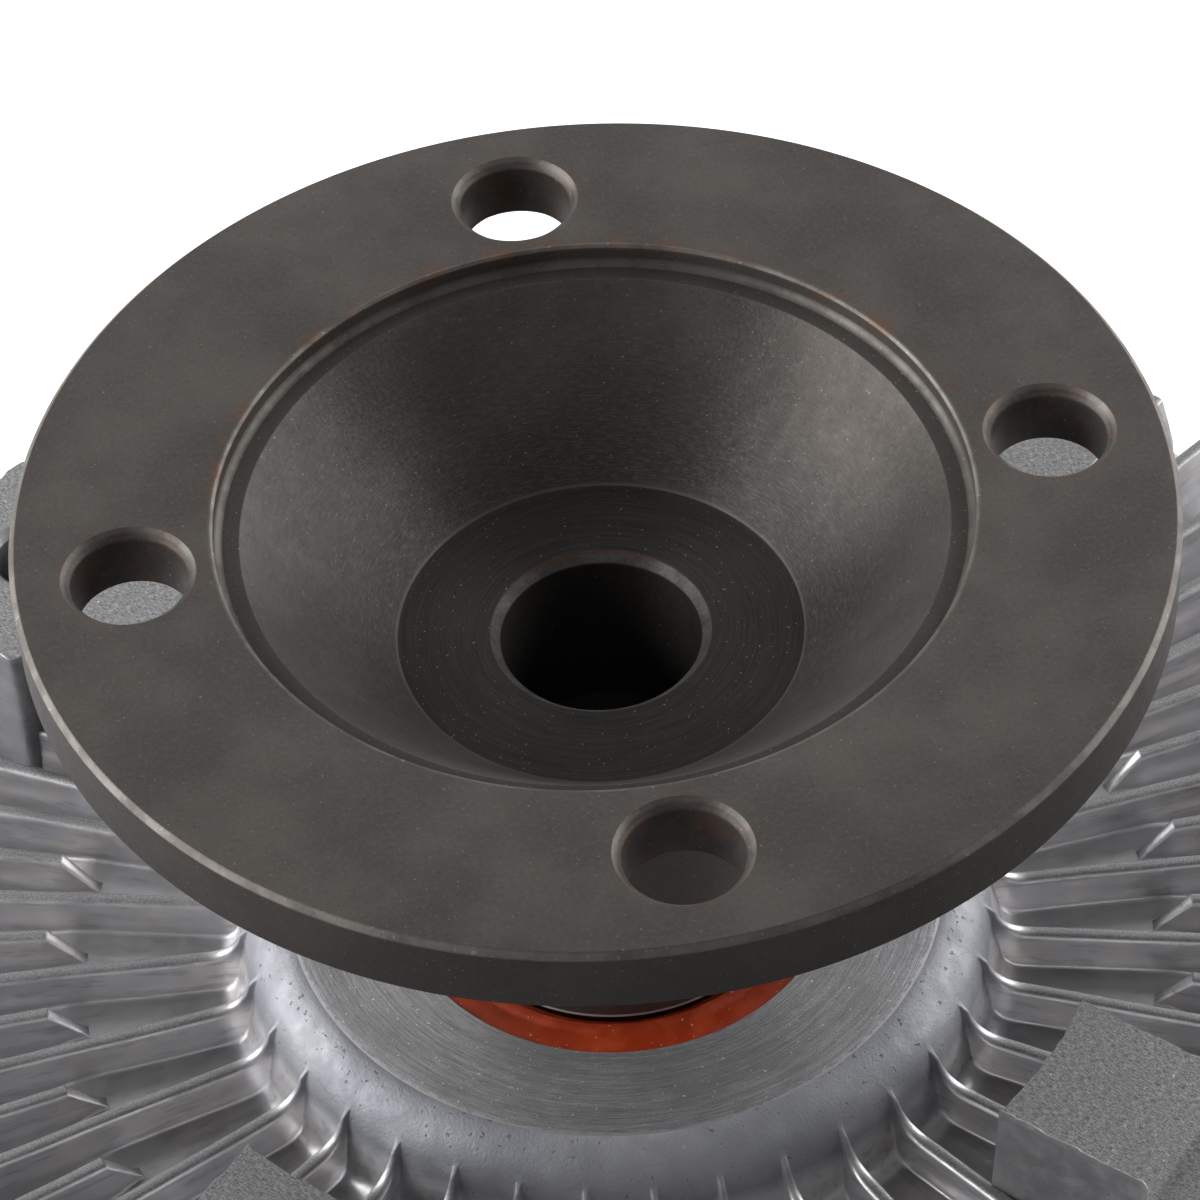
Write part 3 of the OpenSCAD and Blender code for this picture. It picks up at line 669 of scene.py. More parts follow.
def lay_cone(f):
    """The recess's cone: darkened towards its floor by painted shade, and more stroked there."""
    blur = 0.4
    depth = f.band(f.z, LEDGE_Z, RECESS_Z)
    cone = f.times(
        f.within(f.radius, RECESS_R + blur, CONE_R - blur / 2, blur),
        f.band(f.z, LEDGE_Z, LEDGE_Z - blur),
    )
    fine = f.rings(11.0, 22.0)
    strokes = f.times(cone, f.level(depth, 0.15, 0.45))
    # Painted shade: the cone darkens towards the recess's floor.
    f.lay((0.032, 0.029, 0.027), cone, f.level(depth, 0.1, 0.4))
    f.lay((0.17, 0.16, 0.152), strokes, f.band(fine, 0.5, 0.72))
    f.lay((0.03, 0.027, 0.025), strokes, f.band(fine, 0.5, 0.28))


def lay_recess_floor(f):
    """The recess's turned floor, made near-black by painted shade over its turning rings, and a painted
    highlight as a bright line round it.
    """
    low = f.band(f.z, RECESS_Z + 0.5, RECESS_Z + 0.15)
    line_w = 0.1
    # Painted shade: the turned floor is laid near-black, with its turning rings kept.
    turned_floor_shade = f.mix(f.band(f.rings(9.0, 2.0), 0.3, 0.7), (0.015, 0.013, 0.0125), (0.038, 0.033, 0.0315))
    f.lay(turned_floor_shade, low, f.within(f.radius, PILOT_LIP_R, RECESS_R, 0.1), 0.88)
    # Painted highlight: a thin bright line round the floor at the cone's foot.
    f.lay((0.2, 0.19, 0.185), low, f.within(f.radius, RECESS_R, RECESS_R + line_w, 0.08), 0.35)


def lay_pilot(f):
    """The pilot's worn lip with rust at its back, and painted shade that darkens its bore."""
    lip = f.mix(f.patches(0.35, 0.65, 0.5), (0.075, 0.07, 0.067), (0.13, 0.124, 0.119))
    lip = f.mix(f.times(f.patches(0.5, 0.3, 4.0), 0.5), lip, (0.04, 0.036, 0.034))
    at_back = f.band(f.y, PILOT_R - 3, PILOT_R)
    rust = f.times(at_back, f.band(f.radius, PILOT_LIP_R - 0.4, PILOT_LIP_R), 0.6)
    lip = f.mix(rust, lip, (0.11, 0.042, 0.018))
    on_lip = f.within(f.radius, PILOT_R + 0.1, PILOT_LIP_R, 0.15)
    f.lay(lip, on_lip, f.band(f.z, PILOT_Z - 1, PILOT_Z - 0.2), 0.8)
    # Painted shade: the bore's wall below the lip is darkened.
    bore_shade = f.band(f.radius, PILOT_R + 0.1, PILOT_R)
    f.lay((0.016, 0.015, 0.014), bore_shade, f.band(f.z, PILOT_Z + 0.1, PILOT_Z - 0.3), 0.8)


def recess_steel():
    """The flange's turned recess: cone, floor, pilot bore and the register's ledge with its worn fillet."""
    blur = 0.1
    f, grain = start_oxide("recess_steel")
    lathe_sheen(f, 0.75)
    lay_cone(f)
    lay_recess_floor(f)
    lay_pilot(f)
    f.lay((0.04, 0.035, 0.032), f.within(f.radius, CONE_R + blur, LEDGE_R, blur), 0.6)
    fillet = f.times(f.within(f.radius, LEDGE_R + blur, REGISTER_R, blur), 0.35)
    return end_oxide(f, f.bump(f.rings(8.0, 2.5), 0.01, f.bump(grain, 0.03)), fillet, 0.0)


def lay_wall_shade_and_neck_light(f, hole):
    """Painted shade that darkens the walls of the rim and holes, and painted light that makes the neck paler
    under the flange.
    """
    # Painted shade: the rim's outer wall below its chamfer is darkened.
    rim = f.band(f.radius, FLANGE_R - 0.06, FLANGE_R - 0.02)
    f.lay((0.026, 0.022, 0.02), rim, f.band(f.z, -FLANGE_EDGE, -FLANGE_EDGE - 0.2), 0.6)
    # Painted shade: the walls of the bolt holes are darkened.
    hole_wall_shade = f.band(hole, BOLT_HOLE_R + 0.15, BOLT_HOLE_R + 0.05)
    f.lay((0.028, 0.025, 0.023), hole_wall_shade, f.band(f.z, -BOLT_HOLE_EDGE, -BOLT_HOLE_EDGE - 0.3), 0.55)
    # Painted light: the neck under the flange, above the collar, is made paler.
    painted_neck_light = f.band(f.z, -FLANGE_T - 0.05, -FLANGE_T - 0.1)
    above_collar = f.band(f.z, COLLAR_END_Z + 3, COLLAR_END_Z + 5)
    f.lay((0.2, 0.18, 0.165), painted_neck_light, above_collar, f.band(f.radius, SHAFT_R + 1, SHAFT_R + 2), 0.35)


def lay_rust(f, hole, top):
    """Faint rust round the holes and the back of the register."""
    at_back = f.band(f.y, -6.0, 10.0)
    round_hole = f.times(f.band(hole, HOLE_LIP_R + 0.7, HOLE_LIP_R - 0.1), 0.45)
    round_register = f.times(f.band(f.radius, REGISTER_LIP_R + 1.5, REGISTER_LIP_R), top, at_back)
    where = f.most(round_hole, round_register)
    f.lay((0.16, 0.075, 0.036), where, f.patches(0.46, 0.64, 0.45, 3.0, 0.7), 0.6)


def oxide_steel():
    """The flange, neck and shaft: walls darkened by painted shade, a neck paled by painted light, paler worn
    edges, faint rust and a bare collar.
    """
    f, grain = start_oxide("oxide_steel")
    hole = hole_distance(f)
    top = f.band(f.z, -0.9, -0.5)
    lay_wall_shade_and_neck_light(f, hole)
    lay_rust(f, hole, top)
    f.lay((0.035, 0.031, 0.028), f.within(hole, BOLT_HOLE_R + 0.25, BOLT_HOLE_R + 0.35, 0.08), top, 0.6)
    collar_end = f.band(f.z, COLLAR_END_Z + 0.4, COLLAR_END_Z + 0.25)
    f.lay((0.6, 0.6, 0.6), collar_end, f.band(f.radius, NECK_R - 1.1, NECK_R - 0.4))
    rim = f.times(f.band(f.radius, FLANGE_R - 0.5, FLANGE_R - 0.3), f.band(f.z, -0.65, -0.4), 0.45)
    hole_edge = f.times(f.within(hole, BOLT_HOLE_R + 0.3, HOLE_LIP_R - 0.1, 0.2), top, 0.3)
    register_lip = f.within(f.radius, REGISTER_R, REGISTER_LIP_R + 0.1, 0.1)
    register_edge = f.times(register_lip, f.band(f.z, -0.5, -0.2), 0.45)
    edges = f.most(rim, f.most(hole_edge, register_edge))
    nicks = f.times(f.patches(0.7, 0.74, 1.5, 1.0, 0.4), f.most(register_edge, rim), 0.7)
    return end_oxide(f, f.bump(grain, 0.03), edges, nicks)


def lay_fins(f, stain):
    """Two near whites, stained and streaked along the way the metal flowed."""
    f.tint = f.mix(f.patches(0.4, 0.62, 0.2, 2.0, 0.5), (0.66, 0.64, 0.63), (0.62, 0.625, 0.66))
    f.lay((0.8, 0.79, 0.8), stain, 0.8)
    flow = f.vector(f.times(f.radius, 0.22), f.times(f.angle, 34.0), f.times(f.z, 1.5))
    streaks = f.noise(1.0, 4.0, 0.65, flow)
    f.lay((0.3, 0.295, 0.305), f.band(streaks, 0.5, 0.3), 0.5)
    f.lay((0.85, 0.83, 0.83), f.band(streaks, 0.58, 0.75), 0.4)


def cast_alloy():
    """Die-cast aluminium: streaked fins with dull sheared crests, painted shade towards the floor between the
    fins, and a pale grainy boss with small pits.
    """
    f = Finish("cast_alloy", (0.5, 0.5, 0.52), 0.9, 0.34)
    stain = f.patches(0.35, 0.7, 0.12, 3.0, 0.6)
    lay_fins(f, stain)
    above_crests = f.band(f.z, CREST_Z - 1, CREST_Z + 1.4)
    boss = f.times(f.band(f.radius, BOSS_FOOT_R + BOSS_FILLET, BOSS_FOOT_R), above_crests)
    f.lay(f.mix(stain, (0.265, 0.27, 0.298), (0.35, 0.355, 0.38)), boss)
    off_boss = f.band(f.radius, BOSS_FOOT_R + 1.2, BOSS_FOOT_R + 3.3)
    crest = f.times(f.band(f.z, CREST_Z - 0.2, CREST_Z - 0.08), off_boss)
    sheared = f.mix(f.patches(0.36, 0.7, 5.0, 3.0, 0.7), (0.19, 0.19, 0.197), (0.4, 0.4, 0.405))
    f.lay(sheared, crest, 0.85)
    # Painted shade: darker towards the floor between the fins, on the rear housing only.
    above_joint = f.band(f.z, JOINT_Z - 1, JOINT_Z + 4)
    f.lay((0.32, 0.315, 0.325), f.band(f.z, CREST_Z - 2.4, FLOOR_Z), above_joint, 0.5)
    near_face = f.times(f.band(f.radius, FACE_R + 3.5, FACE_R + 0.9), f.band(f.z, FACE_Z - 3.6, FACE_Z - 2.1))
    pits = f.band(f.plus(f.noise(1.7, 2.0, 0.5), f.times(near_face, 0.05)), 0.7, 0.75)
    pits = f.times(pits, boss)
    f.lay((0.14, 0.13, 0.13), pits, 0.75)
    f.give("Metallic", f.level(boss, 0.88, 0.6))
    sheen = f.level(f.patches(0.3, 0.7, 0.6, 2.0), 0.3, 0.43)
    rough = f.plus(sheen, f.plus(f.times(boss, 0.24), f.times(crest, 0.15)))
    relief = f.bump(f.noise(0.4, 1.0, 0.5), 0.06)
    relief = f.bump(f.times(f.noise(3.2, 2.0, 0.7), f.level(boss, 0.1, 1.0)), 0.04, relief)
    return f.done(rough, f.bump(f.math("SUBTRACT", 1.0, pits), 0.05, relief))


def turned_face():
    """The boss's machined face: short lathe strokes in dark grain, bright flecks painted as glints, and a
    ragged edge.
    """
    f = Finish("turned_face", (0.5, 0.5, 0.51), 0.75, 0.42)
    lathe_sheen(f, 0.6)
    rings = f.rings(5.0, 1.5)
    grain = f.noise(6.5, 3.0, 0.75)
    strokes = f.rings(13.0, 13.0)
    f.tint = f.mix(f.band(rings, 0.3, 0.7), (0.37, 0.37, 0.387), (0.54, 0.54, 0.56))
    f.lay((0.2, 0.2, 0.21), f.band(strokes, 0.5, 0.3), 0.65)
    f.lay((0.75, 0.75, 0.78), f.band(strokes, 0.58, 0.7), 0.5)
    f.lay((0.16, 0.16, 0.17), f.band(grain, 0.48, 0.28), 0.7)
    f.lay((0.3, 0.295, 0.3), f.patches(0.42, 0.66, 0.16, 4.0), 0.5)
    # Painted glints: small pure white flecks.
    f.lay((1.0, 1.0, 1.0), f.patches(0.72, 0.77, 3.6, 1.0, 0.5))
    ragged = f.plus(f.radius, f.level(f.noise(1.6), -0.45, 0.45))
    f.lay((0.56, 0.565, 0.59), f.band(ragged, FACE_R - 0.35, FACE_R - 0.2))
    relief = f.bump(f.plus(strokes, f.times(rings, 0.5)), 0.025, f.bump(grain, 0.03))
    return f.done(f.level(grain, 0.3, 0.52), relief)


def pad_face():
    """Milled pad tops: dark grey with very fine crossing tool marks and a few bright specks."""
    f = Finish("pad_face", (0.3, 0.3, 0.3), 0.6, 0.46)
    one_way, other_way = f.plus(f.x, f.y), f.math("SUBTRACT", f.x, f.y)
    one = f.noise(1.0, 2.0, 0.6, f.vector(f.times(one_way, 8.5), f.times(other_way, 1.2)))
    other = f.noise(1.0, 2.0, 0.6, f.vector(f.times(one_way, 1.6), f.times(other_way, 8.0)))
    marks = f.plus(f.times(one, 0.6), f.times(other, 0.4))
    grain = f.noise(7.0, 2.0, 0.7)
    f.tint = f.mix(f.band(marks, 0.38, 0.64), (0.17, 0.17, 0.17), (0.54, 0.54, 0.54))
    f.lay((0.1, 0.1, 0.1), f.band(grain, 0.46, 0.28), 0.5)
    f.lay((0.75, 0.75, 0.75), f.band(grain, 0.6, 0.74), 0.5)
    f.lay((0.27, 0.265, 0.26), f.patches(0.45, 0.75, 0.25), 0.3)
    f.lay((0.9, 0.9, 0.9), f.patches(0.76, 0.8, 2.8, 1.0, 0.4))
    return f.done(f.level(marks, 0.38, 0.55), f.bump(f.plus(marks, f.times(grain, 0.6)), 0.025))


def pad_wall():
    """Cast pad sides: pale and smooth, with shallow pits and a ragged upper edge whose lighter band is partly
    torn metal and partly a painted highlight.
    """
    f = Finish("pad_wall", (0.6, 0.6, 0.61), 0.6, 0.5)
    patch = f.patches(0.35, 0.7, 0.3, 4.0, 0.6)
    f.tint = f.mix(patch, (0.27, 0.27, 0.28), (0.37, 0.37, 0.38))
    # Lighter band at the ragged upper edge: partly a torn edge, partly a painted highlight.
    ragged = f.plus(f.z, f.level(f.noise(1.1), -0.5, 0.5))
    edge = f.times(f.band(ragged, PAD_Z - 0.7, PAD_Z - 0.5), 0.25)
    f.lay((0.5, 0.5, 0.51), edge)
    f.lay((0.18, 0.178, 0.18), f.patches(0.66, 0.74, 1.4, 3.0, 0.6), 0.4)
    fine = f.plus(f.noise(3.5, 2.0), f.times(edge, f.noise(2.2)))
    return f.done(f.level(patch, 0.42, 0.56), f.bump(fine, 0.03, f.bump(f.noise(0.8), 0.06)))


def seal_rubber():
    """Orange moulded rubber with a little dust."""
    f = Finish("seal_rubber", (0.3, 0.032, 0.005), 0.0, 0.42)
    shade_share = f.patches(0.35, 0.7, 0.5, 4.0)
    f.tint = f.mix(shade_share, (0.255, 0.024, 0.003), (0.345, 0.036, 0.004))
    f.lay((0.7, 0.45, 0.3), f.patches(0.72, 0.77, 3.2, 1.0, 0.4), 0.5)
    return f.done(f.level(shade_share, 0.38, 0.52), f.bump(f.noise(2.0), 0.02))


def plain_metal(name, dark, light, rough):
    """A turned or rolled metal with fine lines and uneven sheen."""
    f = Finish(name, light, 1.0, rough)
    marks = f.rings(3.0, 2.0)
    patch = f.patches(0.35, 0.7, 0.3, 4.0)
    f.tint = f.mix(patch, dark, light)
    f.lay(tuple(min(1.0, c * 1.25) for c in light), f.band(marks, 0.5, 0.8), 0.3)
    return f.done(f.level(patch, rough - 0.06, rough + 0.08), f.bump(marks, 0.012))


def moulded(name, dark, light, rough):
    """Moulded rubber or plastic with a fine surface grain."""
    f = Finish(name, light, 0.0, rough)
    f.tint = f.mix(f.patches(0.35, 0.7, 0.5, 4.0), dark, light)
    return f.done(f.level(f.noise(1.2), rough - 0.08, rough + 0.08), f.bump(f.noise(2.5), 0.02))


OXIDE_STEEL = oxide_steel()
RECESS_STEEL = recess_steel()
CAST_ALLOY = cast_alloy()
TURNED_FACE = turned_face()
PAD_FACE = pad_face()
PAD_WALL = pad_wall()
SEAL_RUBBER = seal_rubber()
BEARING_STEEL = plain_metal("bearing_steel", (0.5, 0.5, 0.51), (0.66, 0.66, 0.68), 0.22)
CAGE_BRASS = plain_metal("cage_brass", (0.5, 0.36, 0.12), (0.66, 0.5, 0.2), 0.34)
TURNED_ALLOY = plain_metal("turned_alloy", (0.46, 0.46, 0.47), (0.6, 0.6, 0.61), 0.34)
SPRING_STEEL = plain_metal("spring_steel", (0.1, 0.1, 0.105), (0.17, 0.17, 0.18), 0.36)
PLATED_STEEL = plain_metal("plated_steel", (0.45, 0.45, 0.44), (0.6, 0.6, 0.58), 0.32)
BIMETAL_STRIP = plain_metal("bimetal_strip", (0.36, 0.27, 0.16), (0.52, 0.42, 0.28), 0.36)
BLACK_RUBBER = moulded("black_rubber", (0.012, 0.012, 0.012), (0.025, 0.025, 0.025), 0.55)
WIPER_PLASTIC = moulded("wiper_plastic", (0.6, 0.55, 0.42), (0.7, 0.66, 0.54), 0.48)

NODE_FINISH = {
    "bearing_inner_ring": BEARING_STEEL,
    "bearing_outer_ring": BEARING_STEEL,
    "bearing_balls": BEARING_STEEL,
    "bearing_cage": CAGE_BRASS,
    "front_bearing_seal": SEAL_RUBBER,
    "rotor_disc": TURNED_ALLOY,
    "rotor_keeper_ring": SPRING_STEEL,
    "divider_plate": PLATED_STEEL,
    "divider_screws": PLATED_STEEL,
    "pump_wiper": WIPER_PLASTIC,
    "valve_arm": PLATED_STEEL,
    "valve_shaft": PLATED_STEEL,
    "valve_seal_ring": BLACK_RUBBER,
    "valve_clip": SPRING_STEEL,
    "cover_seal_ring": BLACK_RUBBER,
    "fill_plug": PLATED_STEEL,
}


# Finned skins

class FinShape:
    """Section of a fin: half its crest's thickness, draft, roundings and the height where it thins out."""

    def __init__(self, half, crest_z, draft, crest_round, root_fillet, run_out):
        self.half = half
        self.crest_z = crest_z
        self.lean = math.tan(math.radians(draft))
        self.crest_round = crest_round
        self.root_fillet = root_fillet
        self.run_out = run_out

    def columns(self, height, rise):
        """Offsets from the fin's middle with their heights, from a crest that far over its level down."""
        half = max(self.half - rise * TIP_TAPER, TIP_HALF) if rise > 0 else self.half - rise * self.lean
        half *= min(1.0, THIN_END + (1 - THIN_END) * height / self.run_out)
        edge = min(self.crest_round, height * 0.4, half * 0.8)
        root = min(self.root_fillet, height * 0.35)
        foot = half + (height - root) * self.lean
        turns = [math.radians(a) for a in (30, 60, 90)]
        result = [(0.0, height), (half - edge, height)]
        result += [(half - edge * (1 - math.sin(a)), height - edge * (1 - math.cos(a))) for a in turns]
        result += [((half + foot) / 2, (height - edge + root) / 2), (foot, root)]
        result += [(foot + root * (1 - math.cos(a)), root * (1 - math.sin(a))) for a in turns]
        spaced, last = [], -COLUMN_GAP
        for offset, level in result:
            last = max(offset, last + COLUMN_GAP)
            spaced.append((last, level))
        return spaced


REAR_FIN = FinShape(0.65, CREST_Z, 4, 0.45, 0.4, CREST_Z - FLOOR_Z)
FRONT_FIN = FinShape(0.8, FRONT_Z, 2, 0.3, 1.0, 2.5)


def half_fin(base, crest, shape, room_share):
    """Points of half a fin at one station, as radius, height and angle from the fin's middle."""
    height = math.dist(base, crest)
    toward_crest = 1 if crest[1] >= base[1] else -1
    columns = shape.columns(height, (crest[1] - shape.crest_z) * toward_crest)
    room = base[0] * FIN_STEP / 2
    squeeze = min(1.0, room_share * room / columns[-1][0])
    result = []
    for offset, level in columns:
        r, z = between(base, crest, level / height) if height > 0 else base
        result.append((r, z, math.asin(offset * squeeze / r)))
    return result


def fin_tile(name, stations, shape, short_fins):
    """One sector of a finned skin, from stations of a base and the crests of its long and short fin."""
    points = []
    columns = 0
    for base, long_crest, short_crest in stations:
        half = half_fin(base, long_crest, shape, LONG_FIN_ROOM)
        if short_fins:
            short = half_fin(base, short_crest, shape, SHORT_FIN_ROOM)
            half += [(r, z, FIN_STEP / 2 - a) for r, z, a in reversed(short)]
        else:
            half.append((*base, FIN_STEP / 2))
        row = [(r, z, -a) for r, z, a in reversed(half[1:])] + half
        columns = len(row)
        points += [(r * math.cos(a), r * math.sin(a), z) for r, z, a in row]
    return mesh_object(name, points, grid_faces(len(stations), columns, True, False))


def bare(*points):
    """Stations without fins."""
    return [(p, p, p) for p in points]


def boss_stations():
    """From the lip over the turned face and round the boss, where the long fins sweep up from the floor."""
    face_steps = 6
    start_angle = math.degrees(math.acos((FACE_R - ROUND_CENTRE[0]) / ROUND_R))
    fin_angle = math.degrees(math.asin((SWEEP_CENTRE[1] - ROUND_CENTRE[1]) / ROUND_R))
    face = [between((LIP_R, LIP_Z), (FACE_R, FACE_Z), i / face_steps) for i in range(face_steps + 1)]
    rim = arc(ROUND_CENTRE, ROUND_R, start_angle, fin_angle, 7)[1:]
    climb = arc(ROUND_CENTRE, ROUND_R, fin_angle, 0, 4)
    climb += arc((BOSS_FOOT_R + BOSS_FILLET, FLOOR_Z + BOSS_FILLET), BOSS_FILLET, 180, 270, 6)
    sweep = arc(SWEEP_CENTRE, SWEEP_R, 180, 270, 12)
    result = bare(*face, *rim)
    for share in (0.02, 0.05, 0.1, TIP_SHARE, 0.22, *(i / 10 for i in range(3, 11))):
        base = along(climb, share)
        crest = between(base, along(sweep, share), min(1.0, share / TIP_SHARE))
        result.append((base, crest, base))
    return result


def rear_fin_stations():
    """Along the fins, closer together where the short fins rise, the floor bends and the fins end."""
    radii = (
        36, 39, 42, SHORT_FIN_R - 1, SHORT_FIN_R, SHORT_FIN_R + 0.5, SHORT_FIN_R + 1.1, KNEE_R, KNEE_R + 0.8,
        SHORT_FIN_TOP_R, SHORT_FIN_TOP_R + 0.7, 52, 57, 62, 67, 72, 76, FIN_END_R - 0.9, FIN_END_R,
    )
    result = []
    for r in radii:
        base, crest = on_line(REAR_FLOOR, r), (r, CREST_Z)
        rise = min(1.0, max(0.0, (r - SHORT_FIN_R) / (SHORT_FIN_TOP_R - SHORT_FIN_R)))
        result.append((base, crest, between(base, crest, rise)))
    for share in (0.04, 0.1, 0.3, 0.6, 0.85, 1.0):
        crest = between((FIN_END_R, CREST_Z), FIN_FOOT, share)
        result.append((on_line(REAR_FLOOR, crest[0]), crest, crest))
    return result


def rear_stations():
    """Stations of the rear housing, from its lip over the boss, floor and rim, and back inside."""
    edge_z = BODY_EDGE[1]
    outside = bare(
        (BODY_R - BODY_ROUND, edge_z + BODY_ROUND / 2), (BODY_R - BODY_ROUND / 4, edge_z - BODY_ROUND / 8),
        (BODY_R, edge_z - BODY_ROUND), (BODY_R, JOINT_Z + JOINT_EDGE), (BODY_R - JOINT_EDGE, JOINT_Z),
    )
    inside = stepped(
        JOINT_Z, (CHAMBER_R, CEILING_Z), (SEAL_SEAT_R, BEARING_END_Z), (BEARING_R, BEARING_Z),
        (LIP_R, LIP_Z - LIP_EDGE),
    )
    return boss_stations() + rear_fin_stations() + outside + bare(*inside)


def coil_recess_stations():
    """From the valve bore over its boss to the floor round the coil."""
    foot_r = VALVE_BOSS_R + VALVE_BOSS_DRAFT
    return bare(
        (VALVE_BORE_R, VALVE_BOSS_Z + VALVE_BORE_EDGE), (VALVE_BORE_R + VALVE_BORE_EDGE, VALVE_BOSS_Z),
        (VALVE_BOSS_R - VALVE_BOSS_EDGE, VALVE_BOSS_Z), (VALVE_BOSS_R, VALVE_BOSS_Z + VALVE_BOSS_EDGE),
        (foot_r, COVER_MID_Z - VALVE_BOSS_EDGE), (foot_r + VALVE_BOSS_EDGE, COVER_MID_Z),
        (20, COVER_MID_Z), (FRONT_FIN_R - 0.1, COVER_MID_Z),
    )


def front_fin_stations():
    """Along the cover's fins, closer together where they rise, the floor bends and they end."""
    radii = (
        FRONT_FIN_R, 31, 32, 33, FRONT_FIN_TOP_R - 0.4, FRONT_FIN_TOP_R, FRONT_FIN_TOP_R + 0.6, 39,
        COVER_MID_R, 46, 48, COVER_SLOPE_R, 58, 66, 72, FRONT_FIN_END_R - 0.7, FRONT_FIN_END_R,
    )
    crests = [on_line(FRONT_CREST, r) for r in radii]
    crests += [between(FRONT_CREST[-1], FRONT_FIN_FOOT, share) for share in (0.04, 0.1, 0.35, 0.7, 1.0)]
    result = []
    for crest in crests:
        base = on_line(COVER_FLOOR, crest[0])
        result.append((base, crest, base))
    return result


def cover_inside():
    """The seal's groove, the lands, the divider's seat, the reservoir and the valve's bore."""
    groove_in, groove_out = COVER_SEAL_GROOVE
    high, low = VALVE_SEAL_Z + FIT_GAP, VALVE_SEAL_END_Z - FIT_GAP
    walls = [(groove_out, COVER_SEAL_Z - FIT_GAP), (groove_in, JOINT_Z), (COVER_WORK_R, COVER_BASE_Z)]
    for i in reversed(range(LAND_COUNT)):
        middle = LAND_R + i * LAND_PITCH
        walls += [(middle + LAND_HALF, LAND_TIP_Z), (middle - LAND_HALF, COVER_BASE_Z)]
    walls += [(DIVIDER_WALL_R, DIVIDER_Z), (DIVIDER_R + FIT_GAP, DIVIDER_LOW_Z), (RESERVOIR_R, RESERVOIR_Z)]
    walls += [(VALVE_BOSS_R, VALVE_INNER_Z), (VALVE_BORE_R, high), (VALVE_SEAL_R + FIT_GAP, low)]
    return bare(*stepped(JOINT_Z, *walls), (VALVE_BORE_R, low))


def front_stations():
    """Stations of the front cover, from its valve bore over the coil's recess and fins, and back inside."""
    rim = [(BODY_R - back, COVER_FACE_Z + up) for back, up in COVER_ROUND]
    rim += [(BODY_R, JOINT_Z - JOINT_EDGE), (BODY_R - JOINT_EDGE, JOINT_Z)]
    return coil_recess_stations() + front_fin_stations() + bare(*rim) + cover_inside()


def cast_wobble(obj):
    """Small unevenness of a casting's fins."""
    for vertex in obj.data.vertices:
        place = vertex.co / MM
        on_fins = UNEVEN_R[0] < math.hypot(place.x, place.y) < UNEVEN_R[1]
        if on_fins and (place.z > FLOOR_END[1] - 1 or place.z < COVER_FACE_Z - 0.5):
            pull = noise.noise_vector(place / UNEVEN_PATCH) * UNEVEN_BY * MM
            vertex.co += Vector((pull.x, pull.y, 0))


# Pieces

def in_recess(at, normal):
    """Whether a face lies in the flange's recess, from the register's fillet down to the pilot's end."""
    r = math.hypot(at.x, at.y)
    below = at.z < LEDGE_Z + REGISTER_FILLET and r < REGISTER_R
    inside_neck = r - at.z * CONE_SLOPE < NECK_ROOT_R
    in_pilot = r <= PILOT_R and at.z > PILOT_END_Z - 0.1
    return below and (inside_neck or in_pilot)


def bolt_drill():
    """Shape of a bolt hole with chamfered mouths, the upper one a little rounded."""
    soft = 0.06
    spread_r = HOLE_LIP_R + 0.2
    end_z = -FLANGE_T - OVER
    hole = [
        (0, OVER), (spread_r, OVER), (spread_r, FIT_GAP), (HOLE_LIP_R, 0),
        (BOLT_HOLE_R + soft, soft - BOLT_HOLE_EDGE), (BOLT_HOLE_R, -BOLT_HOLE_EDGE - 0.1),
        (BOLT_HOLE_R, BOLT_HOLE_EDGE - FLANGE_T),
        (HOLE_LIP_R, -FLANGE_T), (HOLE_LIP_R, end_z), (0, end_z),
    ]
    drill = turned("drill", hole, 64)
    shift(drill, BOLT_CIRCLE_R)
    return drill


def flange_shaft():
    """Turned flange, cone, neck and shaft with four chamfered bolt holes."""
    groove_r = ROTOR_SEAT_R - KEEPER_GROOVE
    section = [
        (0.0, PILOT_END_Z), (PILOT_R, PILOT_END_Z), (PILOT_R, PILOT_Z), (PILOT_LIP_R, RECESS_Z),
        (RECESS_R, RECESS_Z), (CONE_R, LEDGE_Z),
        *arc((LEDGE_R, LEDGE_Z + REGISTER_FILLET), REGISTER_FILLET, -90, 0, 12),
        (REGISTER_R, -FLANGE_EDGE / 2), (REGISTER_LIP_R, 0), (FLANGE_R - FLANGE_EDGE, 0),
        (FLANGE_R, -FLANGE_EDGE), (FLANGE_R, FLANGE_EDGE - FLANGE_T), (FLANGE_R - FLANGE_EDGE, -FLANGE_T),
        (NECK_ROOT_R, -FLANGE_T),
        *stepped(
            NECK_Z, (NECK_R, COLLAR_END_Z), (SHOULDER_R, BEARING_Z), (SHAFT_R, SHAFT_STEP_Z),
            (ROTOR_SEAT_R, KEEPER_Z), (groove_r, KEEPER_END_Z), (ROTOR_SEAT_R, SHAFT_END_Z + KEEPER_GROOVE),
        ),
        (groove_r, SHAFT_END_Z), (0.0, SHAFT_END_Z),
    ]
    piece = turned("turned_flange", rounded(section, EDGE_SOFT, closed=False), 256)
    cut(piece, ring_of(bolt_drill(), BOLT_COUNT, 0.0, OXIDE_STEEL))
    paint(piece, OXIDE_STEEL)
    repaint(piece, RECESS_STEEL, in_recess)
    return piece


